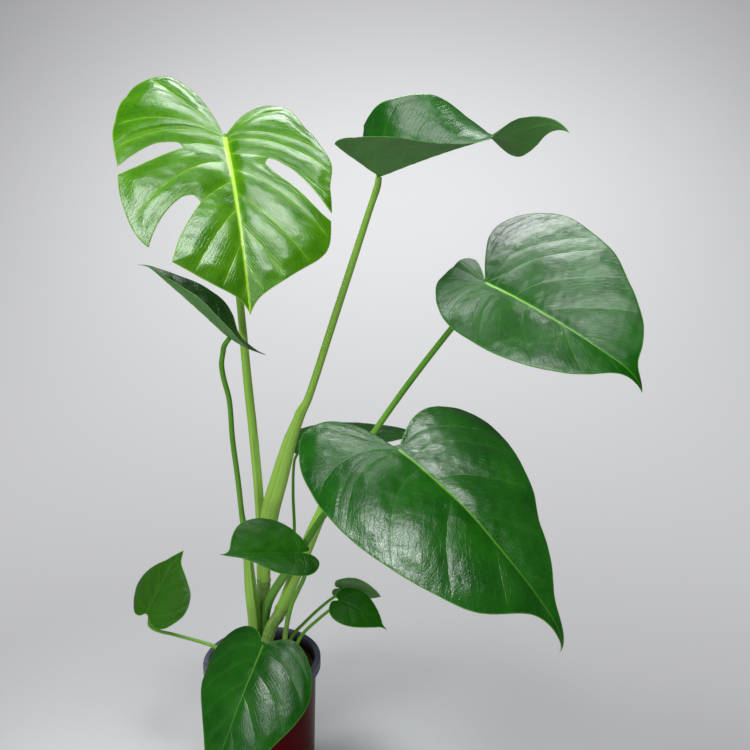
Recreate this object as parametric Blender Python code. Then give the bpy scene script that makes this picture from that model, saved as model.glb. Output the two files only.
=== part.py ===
"""Potted monstera plant: eleven leaf blades on leaf stalks that rise from two
short stems, in potting soil in a thin-walled nursery pot.

Metres, +Z up. The origin is the middle of the pot's underside. Lengths in the
tables below are in millimetres and angles in degrees.
"""

import math

import bpy
import numpy as np
from mathutils import Vector, geometry

MM = 0.001

# ------------------------------------------------------------ driving sizes
POT_HEIGHT = 0.135
POT_RIM_RADIUS = 0.065
POT_RIM_DEPTH = 0.0135
POT_WALL_RADIUS_TOP = 0.0595
POT_WALL_RADIUS_FOOT = 0.0560
POT_WALL = 0.0012
POT_FLOOR = 0.0018
POT_SIDES = 48
DRAIN_HOLES = 6
DRAIN_HOLE_RADIUS = 0.0045
DRAIN_HOLE_CIRCLE = 0.036
SOIL_TOP = 0.120
GAP = 0.00035
BLADE_THICKNESS = 0.0009
STALK_SIDES = 8

# A blade's outline is given by the distance from its stalk's joint to its
# margin in twelve directions, from the tip round to the notch at its base.
# The directions are these shares of the angle at which the notch lies.
SHARES = (0, 0.045, 0.10, 0.17, 0.25, 0.35, 0.45, 0.56, 0.68, 0.79, 0.89, 0.965)
HEART = (1.0, 0.87, 0.75, 0.66, 0.59, 0.53, 0.50, 0.48, 0.46, 0.42, 0.36, 0.25)
OVATE = (1.0, 0.90, 0.79, 0.70, 0.62, 0.55, 0.48, 0.41, 0.34, 0.27, 0.20, 0.13)


def scaled(shape, size):
    return tuple(share * size for share in shape)


# joint: where the stalk meets the blade. yaw, pitch: where the midrib points
# as it leaves the joint. roll: turn about the midrib. droop, curl: how far the
# midrib has bent down by the tip, along its length and over its last fifth.
# back: bend of the lobes behind the joint. fold: rise of each half from the
# midrib. cup: how much each half then bends down. notch: angle of the notch.
# drip: length of the narrow tip that stands beyond the rounded outline.
# bow: how much the stalk keeps its own course where it meets the blade.
# rear: how soon the lobes behind the joint bend, below 1 sooner.
# A fold that changes along the blade is a pair of rows, read at FOLD_AT.
# The first of each pair is the left half, seen from above along the midrib.
FOLD_AT = (-0.35, -0.1, 0.15, 0.35, 0.55, 0.75, 1.0)
BLADES = {
    "leaf_blade_fenestrated": dict(
        joint=(-20, 0, 692), yaw=-72, pitch=-36, roll=-2, length=208,
        droop=26, curl=0, back=0, fold=11, cup=(20, 13), twist=-3,
        notch=(153, 172), drip=12,
        left=(196, 185, 175, 167, 139, 115, 107, 93, 86, 87, 78, 51),
        right=(196, 187, 178, 172, 147, 118, 107, 101, 102, 110, 112, 74),
        grid=17,
        # Each slit runs in from the margin: points along its two edges from
        # its blind end, as (along the midrib, across it).
        slits=(
            (((22, -45), (28, -66), (49, -89), (71, -107)),
             ((30, -42), (40, -56), (59, -81), (80, -108))),
            (((91, -38), (97, -50), (118, -67), (144, -79), (166, -84)),
             ((99, -33), (110, -40), (139, -55), (153, -60), (172, -66))),
            (((36, 37), (41, 46), (57, 61), (83, 76), (117, 93)),
             ((43, 32), (56, 39), (79, 58), (106, 78), (120, 92))),
        ),
    ),
    "leaf_blade_top_right": dict(
        joint=(130, 30, 657), yaw=-6, pitch=22, roll=0, length=198,
        droop=12, curl=60, back=-62, rear=0.8, cup=(10, 12), twist=0,
        fold=((0, 34, 66, 60, 24, -34, -54), (19, 24, 19, 6, -2, 24, 46)),
        notch=(118, 108),
        left=(186, 172, 160, 146, 129, 112, 98, 88, 84, 82, 78, 58),
        right=(186, 162, 140, 123, 110, 99, 93, 92, 97, 105, 113, 105),
        drip=12, bow=4.0, grid=18,
    ),
    "leaf_blade_right": dict(
        joint=(237, 0, 552), yaw=-56, pitch=-13, roll=30, length=208,
        droop=18, curl=75, back=-5, fold=10, cup=(8, 14), twist=-3,
        notch=(139, 216), drip=25,
        left=(183, 179, 169, 152, 137, 127, 119, 115, 114, 108, 95, 70),
        right=(183, 171, 148, 118, 91, 70, 57, 51, 50, 51, 53, 40),
        grid=18,
    ),
    "leaf_blade_large": dict(
        joint=(147, -120, 414), yaw=-50, pitch=-15, roll=13, length=230,
        droop=37, curl=78, back=-5, fold=5, cup=(21, 23), twist=-3,
        notch=(128, 178), drip=40,
        left=(190, 176, 157, 136, 125, 113, 107, 102, 99, 95, 80, 50),
        right=(190, 180, 171, 149, 127, 109, 97, 90, 89, 91, 80, 48),
        grid=18,
    ),
    "leaf_blade_back": dict(
        joint=(36, 80, 361), yaw=10, pitch=9, roll=0, length=150,
        droop=18, curl=0, back=0, fold=4, cup=(15, 15), twist=0,
        notch=(150, 150),
        left=(150, 132, 115, 100, 88, 77, 66, 54, 40, 28, 18, 11),
        right=(150, 132, 115, 100, 88, 77, 66, 54, 40, 28, 18, 11),
        grid=14,
    ),
    "leaf_blade_left": dict(
        joint=(-15, -40, 502), yaw=180, pitch=44, roll=0, length=112,
        droop=2, curl=50, back=-88, cup=(8, 8), twist=0,
        fold=((20, 22, 26, 28, 28, 26, 18), (-6, -2, 13, 22, 26, 25, 10)),
        notch=(150, 160),
        left=(102, 89, 77, 67, 60, 54, 50, 46, 42, 38, 32, 20),
        right=(102, 89, 77, 68, 61, 56, 52, 50, 49, 48, 46, 34),
        drip=10, bow=1.0,
        grid=14,
    ),
    "leaf_blade_middle": dict(
        joint=(51, -60, 287), yaw=206, pitch=13, roll=-27, length=82,
        droop=11, curl=-25, back=-6, fold=12, cup=(16, 13), twist=2,
        notch=(174, 172), drip=9,
        left=(73, 60, 52, 46, 41, 36, 33, 30, 26, 22, 17, 11),
        right=(73, 71, 70, 68, 61, 48, 33, 21, 15, 13, 12, 10),
        grid=11,
    ),
    "leaf_blade_front": dict(
        joint=(15, -85, 200), yaw=-113, pitch=-35, roll=0, length=128,
        droop=12, curl=0, back=0, fold=-4, cup=(23, 25), twist=0,
        notch=(128, 143),
        left=(128, 122, 114, 103, 92, 83, 75, 63, 50, 40, 31, 18),
        right=(128, 114, 99, 88, 80, 74, 69, 63, 52, 40, 27, 14),
        grid=14,
    ),
    "leaf_blade_small_left": dict(
        joint=(-126, 0, 188), yaw=53, pitch=52, roll=3, length=77,
        droop=16, curl=0, back=0, fold=4, cup=(29, 27), twist=3,
        notch=(131, 130),
        left=(77, 68, 61, 58, 56, 54, 49, 37, 26, 19, 14, 9),
        right=(77, 65, 60, 57, 55, 54, 51, 46, 38, 32, 24, 14),
        grid=11,
    ),
    "leaf_blade_small_back": dict(
        joint=(88, 20, 207), yaw=8, pitch=-10, roll=-62, length=46,
        droop=15, curl=0, back=0, fold=6, cup=(15, 15), twist=0,
        notch=(172, 172), left=scaled(OVATE, 46), right=scaled(OVATE, 46),
        grid=9,
    ),
    "leaf_blade_small_front": dict(
        joint=(87, -10, 208), yaw=-20, pitch=-12, roll=16, length=60,
        droop=30, curl=0, back=0, fold=6, cup=(20, 20), twist=0,
        notch=(155, 155), drip=7,
        left=(54, 50, 45, 40, 36, 32, 28, 23, 17, 12, 9, 6),
        right=(54, 50, 45, 40, 36, 32, 28, 23, 17, 12, 9, 6),
        grid=9,
    ),
}

# Points (x, y, z, radius) from the foot up. The last bend and the end that
# meets the blade's underside are added from the blade's own joint.
STALKS = {
    "leaf_stalk_fenestrated": (
        "leaf_blade_fenestrated",
        ((-6, 25, 120.4, 5.5), (-3, 25, 166, 5.5), (-1, 25, 221, 5.0),
         (-1, 20, 314, 5.0), (-5, 18, 393, 4.8), (-9, 19, 447, 4.6),
         (-14, 18, 535, 3.8), (-18, 15, 593, 3.4), (-22, 11, 652, 3.0)),
    ),
    "leaf_stalk_top_right": (
        "leaf_blade_top_right",
        ((3.5, 6, 225.4, 7.2), (4, 6, 240, 7.5), (13, 4, 303, 9.5),
         (24, 5, 342, 9.0), (36, 8, 383, 7.0), (47, 10, 411, 5.0),
         (56, 12, 430, 4.2), (80, 20, 502, 4.0), (103, 26, 571, 3.8),
         (121, 30, 625, 3.4)),
    ),
    "leaf_stalk_right": (
        "leaf_blade_right",
        ((25.7, -18, 203.9, 6.2), (28.8, -18, 211.3, 6.2), (40, -16, 239, 6.5),
         (53, -12, 271, 7.0), (70, -6, 309, 6.0), (94, -1, 346, 4.2),
         (127, 4, 397, 3.4), (164, 10, 449, 3.3), (205, 12, 503, 3.1),
         (226, 9, 529, 2.8)),
    ),
    "leaf_stalk_large": (
        "leaf_blade_large",
        ((4, -3, 120.4, 4.6), (5, -5, 180, 4.8), (12, -11, 210, 4.8),
         (31, -23, 246, 4.6), (49, -33, 277, 3.8), (78, -58, 330, 3.4),
         (112, -90, 372, 3.2), (132, -107, 391, 3.0)),
    ),
    "leaf_stalk_back": (
        "leaf_blade_back",
        ((20, 22, 120.4, 2.6), (26, 24, 166, 2.4), (32, 27, 214, 2.1),
         (35, 36, 270, 1.8), (33, 50, 310, 1.7), (33, 70, 340, 1.6)),
    ),
    "leaf_stalk_left": (
        "leaf_blade_left",
        ((-12, -4, 120.4, 5.5), (-6, -9, 179, 7.0), (-8, -13, 222, 6.4),
         (-10, -16, 270, 4.4), (-13, -20, 308, 3.0), (-15, -25, 351, 2.8),
         (-18, -30, 396, 2.7), (-19, -34, 438, 2.6), (-23, -38, 462, 2.6),
         (-24, -40, 476, 2.6), (-22, -41, 487, 2.5)),
    ),
    "leaf_stalk_middle": (
        "leaf_blade_middle",
        ((24, -24, 120.4, 2.6), (30, -31, 177, 2.6), (38, -40, 217, 2.4),
         (47, -47, 240, 2.3), (54, -53, 258, 2.2), (54, -56, 270, 2.1)),
    ),
    "leaf_stalk_front": (
        "leaf_blade_front",
        ((4, -36, 120.4, 3.0), (6, -43, 151, 2.8), (10, -58, 178, 2.5)),
    ),
    "leaf_stalk_small_left": (
        "leaf_blade_small_left",
        ((-30, -10, 120.4, 2.2), (-36, -10, 144, 2.1), (-51, -10, 153, 2.0),
         (-65, -8, 157, 1.9), (-79, -6, 160, 1.8), (-99, -3, 164, 1.8),
         (-115, -1, 167, 1.8), (-124, 0, 173, 1.7)),
    ),
    "leaf_stalk_small_back": (
        "leaf_blade_small_back",
        ((22, 8, 120.4, 2.0), (33, 10, 154, 1.9), (47, 11, 170, 1.8),
         (61, 12, 184, 1.7), (76, 13, 197, 1.6)),
    ),
    "leaf_stalk_small_front": (
        "leaf_blade_small_front",
        ((29, -9, 120.4, 2.1), (42, -12, 161, 2.0), (49, -12, 172, 1.9),
         (62, -12, 185, 1.8), (75, -11, 196, 1.7)),
    ),
}

STEMS = {
    "stem_back": ((0, 10, 120.4, 7.0), (0, 7, 160, 6.6), (1, 6, 190, 6.8),
                  (3, 6, 216, 7.0), (3.5, 6, 225, 7.9)),
    "stem_front": ((4, -17, 120.4, 6.6), (6, -17, 150, 6.4),
                   (13, -17, 180, 6.4), (22, -18, 195, 6.6),
                   (25.2, -18, 202.7, 7.4)),
}

COLOURS = {
    "blade": ((0.022, 0.115, 0.012), 0.32),
    "blade_young": ((0.10, 0.33, 0.02), 0.28),
    "stalk": ((0.14, 0.30, 0.06), 0.45),
    "soil": ((0.035, 0.022, 0.014), 0.95),
    "pot": ((0.10, 0.006, 0.014), 0.30),
}


# ------------------------------------------------------------------ helpers
def material(name):
    colour, roughness = COLOURS[name]
    mat = bpy.data.materials.new(name)
    mat.use_nodes = True
    shader = mat.node_tree.nodes["Principled BSDF"]
    shader.inputs["Base Color"].default_value = (*colour, 1.0)
    shader.inputs["Roughness"].default_value = roughness
    shader.inputs["Metallic"].default_value = 0.0
    return mat


def smooth_curve(xs, ys, x):
    """Monotone cubic curve through (xs, ys), so that it never overshoots."""
    xs, ys = np.asarray(xs, float), np.asarray(ys, float)
    step = np.diff(xs)
    slope = np.diff(ys) / step
    m = np.zeros(len(xs))
    for i in range(1, len(xs) - 1):
        a, b = slope[i - 1], slope[i]
        if a * b > 0:
            w1 = 2 * step[i] + step[i - 1]
            w2 = step[i] + 2 * step[i - 1]
            m[i] = (w1 + w2) / (w1 / a + w2 / b)
    m[0], m[-1] = slope[0], slope[-1]
    x = np.clip(np.asarray(x, float), xs[0], xs[-1])
    i = np.clip(np.searchsorted(xs, x) - 1, 0, len(xs) - 2)
    t = (x - xs[i]) / step[i]
    return (
        (1 + 2 * t) * (1 - t) ** 2 * ys[i]
        + t * (1 - t) ** 2 * step[i] * m[i]
        + t * t * (3 - 2 * t) * ys[i + 1]
        + t * t * (t - 1) * step[i] * m[i + 1]
    )


def row_lengths(points):
    """Distance from the first row to each row, by the rows' x, y and z."""
    points = np.asarray(points, float)
    gaps = np.linalg.norm(np.diff(points[:, :3], axis=0), axis=1)
    return np.concatenate([[0], np.cumsum(gaps)])


def through(points, at):
    """Smooth path through rows of numbers, read at the given row lengths."""
    points = np.asarray(points, float)
    s = row_lengths(points)
    tangent = np.zeros_like(points)
    tangent[1:-1] = (points[2:] - points[:-2]) / (s[2:] - s[:-2])[:, None]
    tangent[0] = (points[1] - points[0]) / (s[1] - s[0])
    tangent[-1] = (points[-1] - points[-2]) / (s[-1] - s[-2])
    at = np.clip(np.asarray(at, float), 0, s[-1])
    i = np.clip(np.searchsorted(s, at) - 1, 0, len(s) - 2)
    h = (s[i + 1] - s[i])[:, None]
    t = (at - s[i])[:, None] / h
    return (
        (1 + 2 * t) * (1 - t) ** 2 * points[i]
        + t * (1 - t) ** 2 * h * tangent[i]
        + t * t * (3 - 2 * t) * points[i + 1]
        + t * t * (t - 1) * h * tangent[i + 1]
    )


def mesh_object(name, vertices, faces, mat):
    mesh = bpy.data.meshes.new(name)
    mesh.from_pydata([tuple(v) for v in vertices], [], faces)
    mesh.validate()
    mesh.materials.append(mat)
    mesh.shade_smooth()
    obj = bpy.data.objects.new(name, mesh)
    bpy.context.collection.objects.link(obj)
    return obj


# -------------------------------------------------------------- leaf blades
def blade_axes(leaf):
    yaw, pitch, roll = (math.radians(leaf[k]) for k in ("yaw", "pitch", "roll"))
    along = np.array([math.cos(pitch) * math.cos(yaw),
                      math.cos(pitch) * math.sin(yaw), math.sin(pitch)])
    left = np.array([-math.sin(yaw), math.cos(yaw), 0.0])
    up = np.cross(along, left)
    return (along, left * math.cos(roll) + up * math.sin(roll),
            up * math.cos(roll) - left * math.sin(roll))


def fold_angle(leaf, t, on_left):
    """Rise in degrees of a half beside the midrib, at t along the blade."""
    if not isinstance(leaf["fold"], tuple):
        return leaf["fold"] + 0.0 * t
    return np.where(on_left, *(smooth_curve(FOLD_AT, side, t) for side in leaf["fold"]))


def blade_surface(leaf, u, v):
    """Points in metres of the blade at u along the midrib and v to its left,
    both in millimetres from the joint and measured along the blade."""
    u, v = np.asarray(u, float), np.asarray(v, float)
    length, half = leaf["length"], leaf["length"] / 2
    along, left, up = blade_axes(leaf)
    stations = np.linspace(-0.6, 1.1, 171)

    def bend(t):
        front = np.clip(t, 0, None)
        return (
            -math.radians(leaf["droop"]) * front
            - math.radians(leaf["curl"]) * np.clip((t - 0.82) / 0.18, 0, None) ** 1.5
            + math.radians(leaf["back"]) * np.clip(-t, 0, None) ** leaf.get("rear", 1.0)
        )

    middle = bend((stations[1:] + stations[:-1]) / 2)
    step = (stations[1] - stations[0]) * length
    run = np.concatenate([[0], np.cumsum(np.cos(middle) * step)])
    climb = np.concatenate([[0], np.cumsum(np.sin(middle) * step)])
    run -= np.interp(0, stations, run)
    climb -= np.interp(0, stations, climb)
    t = u / length
    x, z, a = np.interp(t, stations, run), np.interp(t, stations, climb), bend(t)
    w = np.abs(v) / half
    fold = np.radians(fold_angle(leaf, t, v > 0))
    cup = np.where(v > 0, *(math.radians(c) for c in leaf["cup"]))
    y = np.sign(v) * half / cup * (np.sin(fold) - np.sin(fold - cup * w))
    h = half / cup * (np.cos(fold - cup * w) - np.cos(fold))
    turn = math.radians(leaf["twist"]) * t
    y, h = y * np.cos(turn) - h * np.sin(turn), y * np.sin(turn) + h * np.cos(turn)
    x, z = x - h * np.sin(a), z + h * np.cos(a)
    points = (np.asarray(leaf["joint"], float)
              + x[..., None] * along + y[..., None] * left + z[..., None] * up)
    return points * MM


def margin_radius(leaf, angle, on_left):
    """Distance from the joint to the margin of one half, at angles in degrees
    from the midrib. A half may reach past 180, behind the joint."""
    radii, notch = leaf["left" if on_left else "right"], leaf["notch"][0 if on_left else 1]
    shares = np.clip(np.asarray(angle, float) / notch, 0, 1)
    reach = smooth_curve(SHARES + (1.0,), tuple(radii) + (0.03 * leaf["length"],), shares)
    return reach + leaf.get("drip", 0.0) * np.exp(-np.asarray(angle, float) / 1.5)


def resampled(path, spacing):
    path = np.asarray(path, float)
    s = np.concatenate([[0], np.cumsum(np.linalg.norm(np.diff(path, axis=0), axis=1))])
    at = np.linspace(0, s[-1], max(2, int(round(s[-1] / spacing)) + 1))
    return np.column_stack([np.interp(at, s, path[:, 0]), np.interp(at, s, path[:, 1])])


def blade_outline(leaf, spacing):
    """Closed outline from the notch round the left half to the tip and back."""
    halves = []
    for sign, notch in ((1, leaf["notch"][0]), (-1, leaf["notch"][1])):
        # The rays stand closer together where the tip narrows.
        angle = notch * np.linspace(1, 0, 420) ** 1.6
        ray = np.column_stack([np.cos(np.radians(angle)), sign * np.sin(np.radians(angle))])
        halves.append(ray * margin_radius(leaf, angle, sign > 0)[:, None])
    left, right = halves[0], halves[1][::-1]
    for first, second in leaf.get("slits", ()):
        cuts = []
        for edge in (first, second):
            edge = np.column_stack([edge, np.zeros(len(edge))])
            at = np.linspace(0, row_lengths(edge)[-1], 60)
            edge = resampled(through(edge, at)[:, :2], 1.0)
            turned = np.degrees(np.arctan2(np.abs(edge[:, 1]), edge[:, 0]))
            inside = np.hypot(*edge.T) < margin_radius(leaf, turned, edge[0][1] > 0)
            last = len(edge) if inside.all() else int(np.argmin(inside))
            cuts.append(edge[:last])
        on_left = cuts[0][-1][1] > 0
        half = left if on_left else right
        angles = np.degrees(np.arctan2(np.abs(half[:, 1]), half[:, 0]))
        ends = [math.degrees(math.atan2(abs(c[-1][1]), c[-1][0])) for c in cuts]
        wide, narrow = (0, 1) if ends[0] > ends[1] else (1, 0)
        order = (wide, narrow) if on_left else (narrow, wide)
        before = half[angles > ends[wide]] if on_left else half[angles < ends[narrow]]
        after = half[angles < ends[narrow]] if on_left else half[angles > ends[wide]]
        half = np.vstack([before, cuts[order[0]][::-1], cuts[order[1]][1:], after])
        left, right = (half, right) if on_left else (left, half)
    left = resampled(left, spacing)
    right = resampled(right, spacing)
    return np.vstack([left, right[1:]])


def inside_outline(points, outline):
    x, y = points[:, 0][:, None], points[:, 1][:, None]
    a, b = outline, np.roll(outline, -1, axis=0)
    crosses = (a[:, 1] > y) != (b[:, 1] > y)
    with np.errstate(divide="ignore", invalid="ignore"):
        at = a[:, 0] + (y - a[:, 1]) * (b[:, 0] - a[:, 0]) / (b[:, 1] - a[:, 1])
    return (crosses & (x < at)).sum(axis=1) % 2 == 1


def make_blade(name, leaf, mat):
    grid = leaf["grid"]
    outline = blade_outline(leaf, grid * 0.62)
    # The notch comes in at the joint, from one half to the other.
    keep = [0]
    for i in range(1, len(outline)):
        if np.linalg.norm(outline[i] - outline[keep[-1]]) > 0.12 * grid:
            keep.append(i)
    outline = outline[keep]
    if np.linalg.norm(outline[0] - outline[-1]) < 0.12 * grid:
        outline = outline[:-1]
    rows = []
    reach = leaf["length"] * 1.1
    for j in range(-int(reach / grid) - 1, int(reach / grid) + 2):
        for i in range(-int(reach / grid) - 1, int(reach / grid) + 2):
            rows.append(((i + 0.5 * (j % 2)) * grid, j * grid * 0.866))
    inner = np.array(rows)
    inner = inner[inside_outline(inner, outline)]
    near = np.linalg.norm(inner[:, None] - outline[None], axis=2).min(axis=1)
    rib = np.arange(0.0, leaf["length"] * 0.9, grid)
    inner = inner[(near > grid * 0.42) & ((np.abs(inner[:, 1]) > grid * 0.3) | (inner[:, 0] < 0))]
    points = np.vstack([outline, np.column_stack([rib, rib * 0]), inner])
    n = len(outline)
    edges = [(i, (i + 1) % n) for i in range(n)]
    edges += [(n + i, n + i + 1) for i in range(len(rib) - 1)]
    flat, _, faces, *_ = geometry.delaunay_2d_cdt(
        [Vector(p) for p in points], edges, [], 1, 1e-4)
    flat = np.array([tuple(p) for p in flat])
    obj = mesh_object(name, blade_surface(leaf, flat[:, 0], flat[:, 1]),
                      [tuple(f) for f in faces], mat)
    solid = obj.modifiers.new("thickness", "SOLIDIFY")
    solid.thickness = BLADE_THICKNESS
    solid.offset = 0.0
    return obj


# --------------------------------------------------------- stalks and stems
def tube(name, rows, mat, spacing=0.017, bend_rings=0):
    """Round tube through rows of x, y, z and radius. bend_rings are set close
    together over the last two stretches, and a foot on the soil is level."""
    rows = np.asarray(rows, float) * MM
    lengths = row_lengths(rows)
    end = lengths[-3] if bend_rings else lengths[-1]
    at = np.linspace(0, end, max(5, int(end / spacing) + 1))
    if bend_rings:
        at = np.concatenate([at, np.linspace(end, lengths[-1], bend_rings + 1)[1:]])
    path = through(rows, at)
    centre, radius = path[:, :3], path[:, 3]
    nudge = 0.0002
    course = through(rows, at + nudge)[:, :3] - through(rows, at - nudge)[:, :3]
    vertices, side = [], None
    for i, c in enumerate(centre):
        ahead = course[i] / np.linalg.norm(course[i])
        if side is None:
            side = np.cross(ahead, (0.0, 1.0, 0.0))
        side = side - ahead * (side @ ahead)
        side = side / np.linalg.norm(side)
        other = np.cross(ahead, side)
        for k in range(STALK_SIDES):
            a = 2 * math.pi * k / STALK_SIDES
            v = c + radius[i] * (side * math.cos(a) + other * math.sin(a))
            if i == 0 and c[2] < SOIL_TOP + 0.002:
                v[2] = c[2]
            vertices.append(v)
    faces, n = [], STALK_SIDES
    for i in range(len(centre) - 1):
        for k in range(n):
            a, b = i * n + k, i * n + (k + 1) % n
            faces.append((a, b, b + n, a + n))
    faces.append(tuple(range(n))[::-1])
    faces.append(tuple(range((len(centre) - 1) * n, len(centre) * n)))
    return mesh_object(name, vertices, faces, mat)


def stalk_end(leaf, rows):
    """The way the stalk runs into its blade, and its slope off square to it."""
    up = blade_axes(leaf)[2]
    course = np.asarray(leaf["joint"], float) - np.asarray(rows[-1][:3], float)
    course = course / np.linalg.norm(course)
    into = up + leaf.get("bow", 0.0) * course
    into = into / np.linalg.norm(into)
    return into, math.acos(min(1.0, float(into @ up)))


def make_stalk(name, blade_name, rows, mat):
    leaf = BLADES[blade_name]
    joint = np.asarray(leaf["joint"], float)
    radius = rows[-1][3]
    into, slope = stalk_end(leaf, rows)
    bend = 10.0 if leaf["length"] > 100 else 5.0
    lowest = float(fold_angle(leaf, np.zeros(2), np.array([True, False])).min())
    sag = max(0.0, math.sin(math.radians(-lowest))) * radius
    stand_off = (BLADE_THICKNESS / MM / 2 + 0.6 + sag + 0.85 * radius * math.sin(slope)) / math.cos(slope)
    ends = [(*(joint - into * bend), radius), (*(joint - into * stand_off), radius * 0.85)]
    return tube(name, list(rows) + ends, mat, bend_rings=4)


# ------------------------------------------------------------- pot and soil
def turned(name, profile, sides, mat):
    """Solid of revolution whose profile starts and ends on the axis."""
    vertices, faces, rings = [], [], []
    for r, z in profile:
        if r < 1e-6:
            rings.append([len(vertices)])
            vertices.append((0.0, 0.0, z))
        else:
            rings.append(list(range(len(vertices), len(vertices) + sides)))
            for k in range(sides):
                a = 2 * math.pi * k / sides
                vertices.append((r * math.cos(a), r * math.sin(a), z))
    for low, high in zip(rings, rings[1:]):
        for k in range(sides):
            j = (k + 1) % sides
            if len(low) == 1:
                faces.append((low[0], high[j], high[k]))
            elif len(high) == 1:
                faces.append((low[k], low[j], high[0]))
            else:
                faces.append((low[k], low[j], high[j], high[k]))
    return mesh_object(name, vertices, faces, mat)


def make_pot(mat):
    rim, top, foot, t = POT_RIM_RADIUS, POT_WALL_RADIUS_TOP, POT_WALL_RADIUS_FOOT, POT_WALL
    lip = POT_HEIGHT - POT_RIM_DEPTH
    profile = [
        (0.0, 0.0), (0.024, 0.0), (0.047, 0.0), (foot - 0.004, 0.0), (foot - 0.0012, 0.0012), (foot, 0.004),
        (top, lip - 0.0008), (rim - 0.0016, lip), (rim, lip + 0.0012),
        (rim, POT_HEIGHT - 0.0016), (rim - 0.0016, POT_HEIGHT),
        (top - t + 0.0016, POT_HEIGHT), (top - t, POT_HEIGHT - 0.0016),
        (top - t, lip - 0.004), (foot - t, 0.005),
        (foot - 0.004, POT_FLOOR), (0.047, POT_FLOOR), (0.024, POT_FLOOR),
        (0.0, POT_FLOOR),
    ]
    pot = turned("nursery_pot", profile, POT_SIDES, mat)
    for i in range(DRAIN_HOLES):
        a = 2 * math.pi * (i + 0.5) / DRAIN_HOLES
        bpy.ops.mesh.primitive_cylinder_add(
            vertices=12, radius=DRAIN_HOLE_RADIUS, depth=0.012, rotation=(0, 0, 0.1),
            location=(DRAIN_HOLE_CIRCLE * math.cos(a), DRAIN_HOLE_CIRCLE * math.sin(a), 0.0))
        cutter = bpy.context.object
        cutter.name = f"drain_hole_cutter_{i + 1}"
        cutter.hide_render = True
        cutter.display_type = "WIRE"
        hole = pot.modifiers.new(f"drain_hole_{i + 1}", "BOOLEAN")
        hole.operation = "DIFFERENCE"
        hole.solver = "EXACT"
        hole.object = cutter
    return pot


def make_soil(mat):
    t = POT_WALL + GAP
    lip = POT_HEIGHT - POT_RIM_DEPTH

    def inner(z):
        share = (z - 0.005) / (lip - 0.004 - 0.005)
        return POT_WALL_RADIUS_FOOT + share * (POT_WALL_RADIUS_TOP - POT_WALL_RADIUS_FOOT) - t

    bottom = POT_FLOOR + GAP
    profile = [
        (0.0, bottom), (POT_WALL_RADIUS_FOOT - 0.0052, bottom),
        (inner(0.0056), 0.0056), (inner(0.117), 0.117),
        (inner(0.117) - 0.0012, SOIL_TOP - 0.0012), (0.051, SOIL_TOP), (0.0, SOIL_TOP),
    ]
    return turned("potting_soil", profile, POT_SIDES, mat)


def build():
    for obj in list(bpy.data.objects):
        bpy.data.objects.remove(obj, do_unlink=True)
    mats = {name: material(name) for name in COLOURS}
    plant = bpy.data.objects.new("plant", None)
    bpy.context.collection.objects.link(plant)
    pieces = [make_pot(mats["pot"]), make_soil(mats["soil"])]
    for name, rows in STEMS.items():
        pieces.append(tube(name, rows, mats["stalk"]))
    for name, (blade_name, rows) in STALKS.items():
        pieces.append(make_stalk(name, blade_name, rows, mats["stalk"]))
    for name, leaf in BLADES.items():
        young = name == "leaf_blade_fenestrated"
        pieces.append(make_blade(name, leaf, mats["blade_young" if young else "blade"]))
    for piece in pieces:
        piece.parent = plant


build()
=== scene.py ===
"""Potted monstera plant, the looks: fine leaf blades with their veins, channelled
leaf stalks, ringed stems, crumbly soil and a moulded nursery pot, each riding on
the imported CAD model. Lengths in the tables are in millimetres, angles in degrees.
"""

import math

import bpy
import numpy as np
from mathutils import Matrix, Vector, geometry


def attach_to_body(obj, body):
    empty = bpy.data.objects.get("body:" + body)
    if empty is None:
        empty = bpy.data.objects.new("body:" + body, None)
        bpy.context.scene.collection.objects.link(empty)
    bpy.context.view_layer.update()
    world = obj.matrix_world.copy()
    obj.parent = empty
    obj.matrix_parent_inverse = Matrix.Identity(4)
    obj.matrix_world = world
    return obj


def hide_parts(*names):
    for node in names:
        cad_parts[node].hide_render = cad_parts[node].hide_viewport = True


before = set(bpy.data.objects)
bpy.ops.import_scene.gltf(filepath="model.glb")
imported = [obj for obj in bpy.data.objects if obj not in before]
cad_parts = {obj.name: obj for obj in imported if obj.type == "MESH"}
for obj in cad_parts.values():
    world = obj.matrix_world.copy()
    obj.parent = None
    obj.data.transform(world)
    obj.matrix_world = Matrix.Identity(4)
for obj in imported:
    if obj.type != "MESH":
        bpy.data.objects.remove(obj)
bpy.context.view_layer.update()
MM = 0.001

# ------------------------------------------------------------ driving sizes
POT_HEIGHT = 0.135
POT_RIM_RADIUS = 0.065
POT_RIM_DEPTH = 0.0135
POT_WALL_RADIUS_TOP = 0.0595
POT_WALL_RADIUS_FOOT = 0.0560
POT_WALL = 0.0012
POT_FLOOR = 0.0018
DRAIN_HOLES = 6
DRAIN_HOLE_RADIUS = 0.0045
DRAIN_HOLE_CIRCLE = 0.036
SOIL_TOP = 0.120
BLADE_THICKNESS = 0.0009

# A blade's outline is given by the distance from its stalk's joint to its
# margin in twelve directions, from the tip round to the notch at its base.
# The directions are these shares of the angle at which the notch lies.
SHARES = (0, 0.045, 0.10, 0.17, 0.25, 0.35, 0.45, 0.56, 0.68, 0.79, 0.89, 0.965)
HEART = (1.0, 0.87, 0.75, 0.66, 0.59, 0.53, 0.50, 0.48, 0.46, 0.42, 0.36, 0.25)
OVATE = (1.0, 0.90, 0.79, 0.70, 0.62, 0.55, 0.48, 0.41, 0.34, 0.27, 0.20, 0.13)


def scaled(shape, size):
    return tuple(share * size for share in shape)


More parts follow.
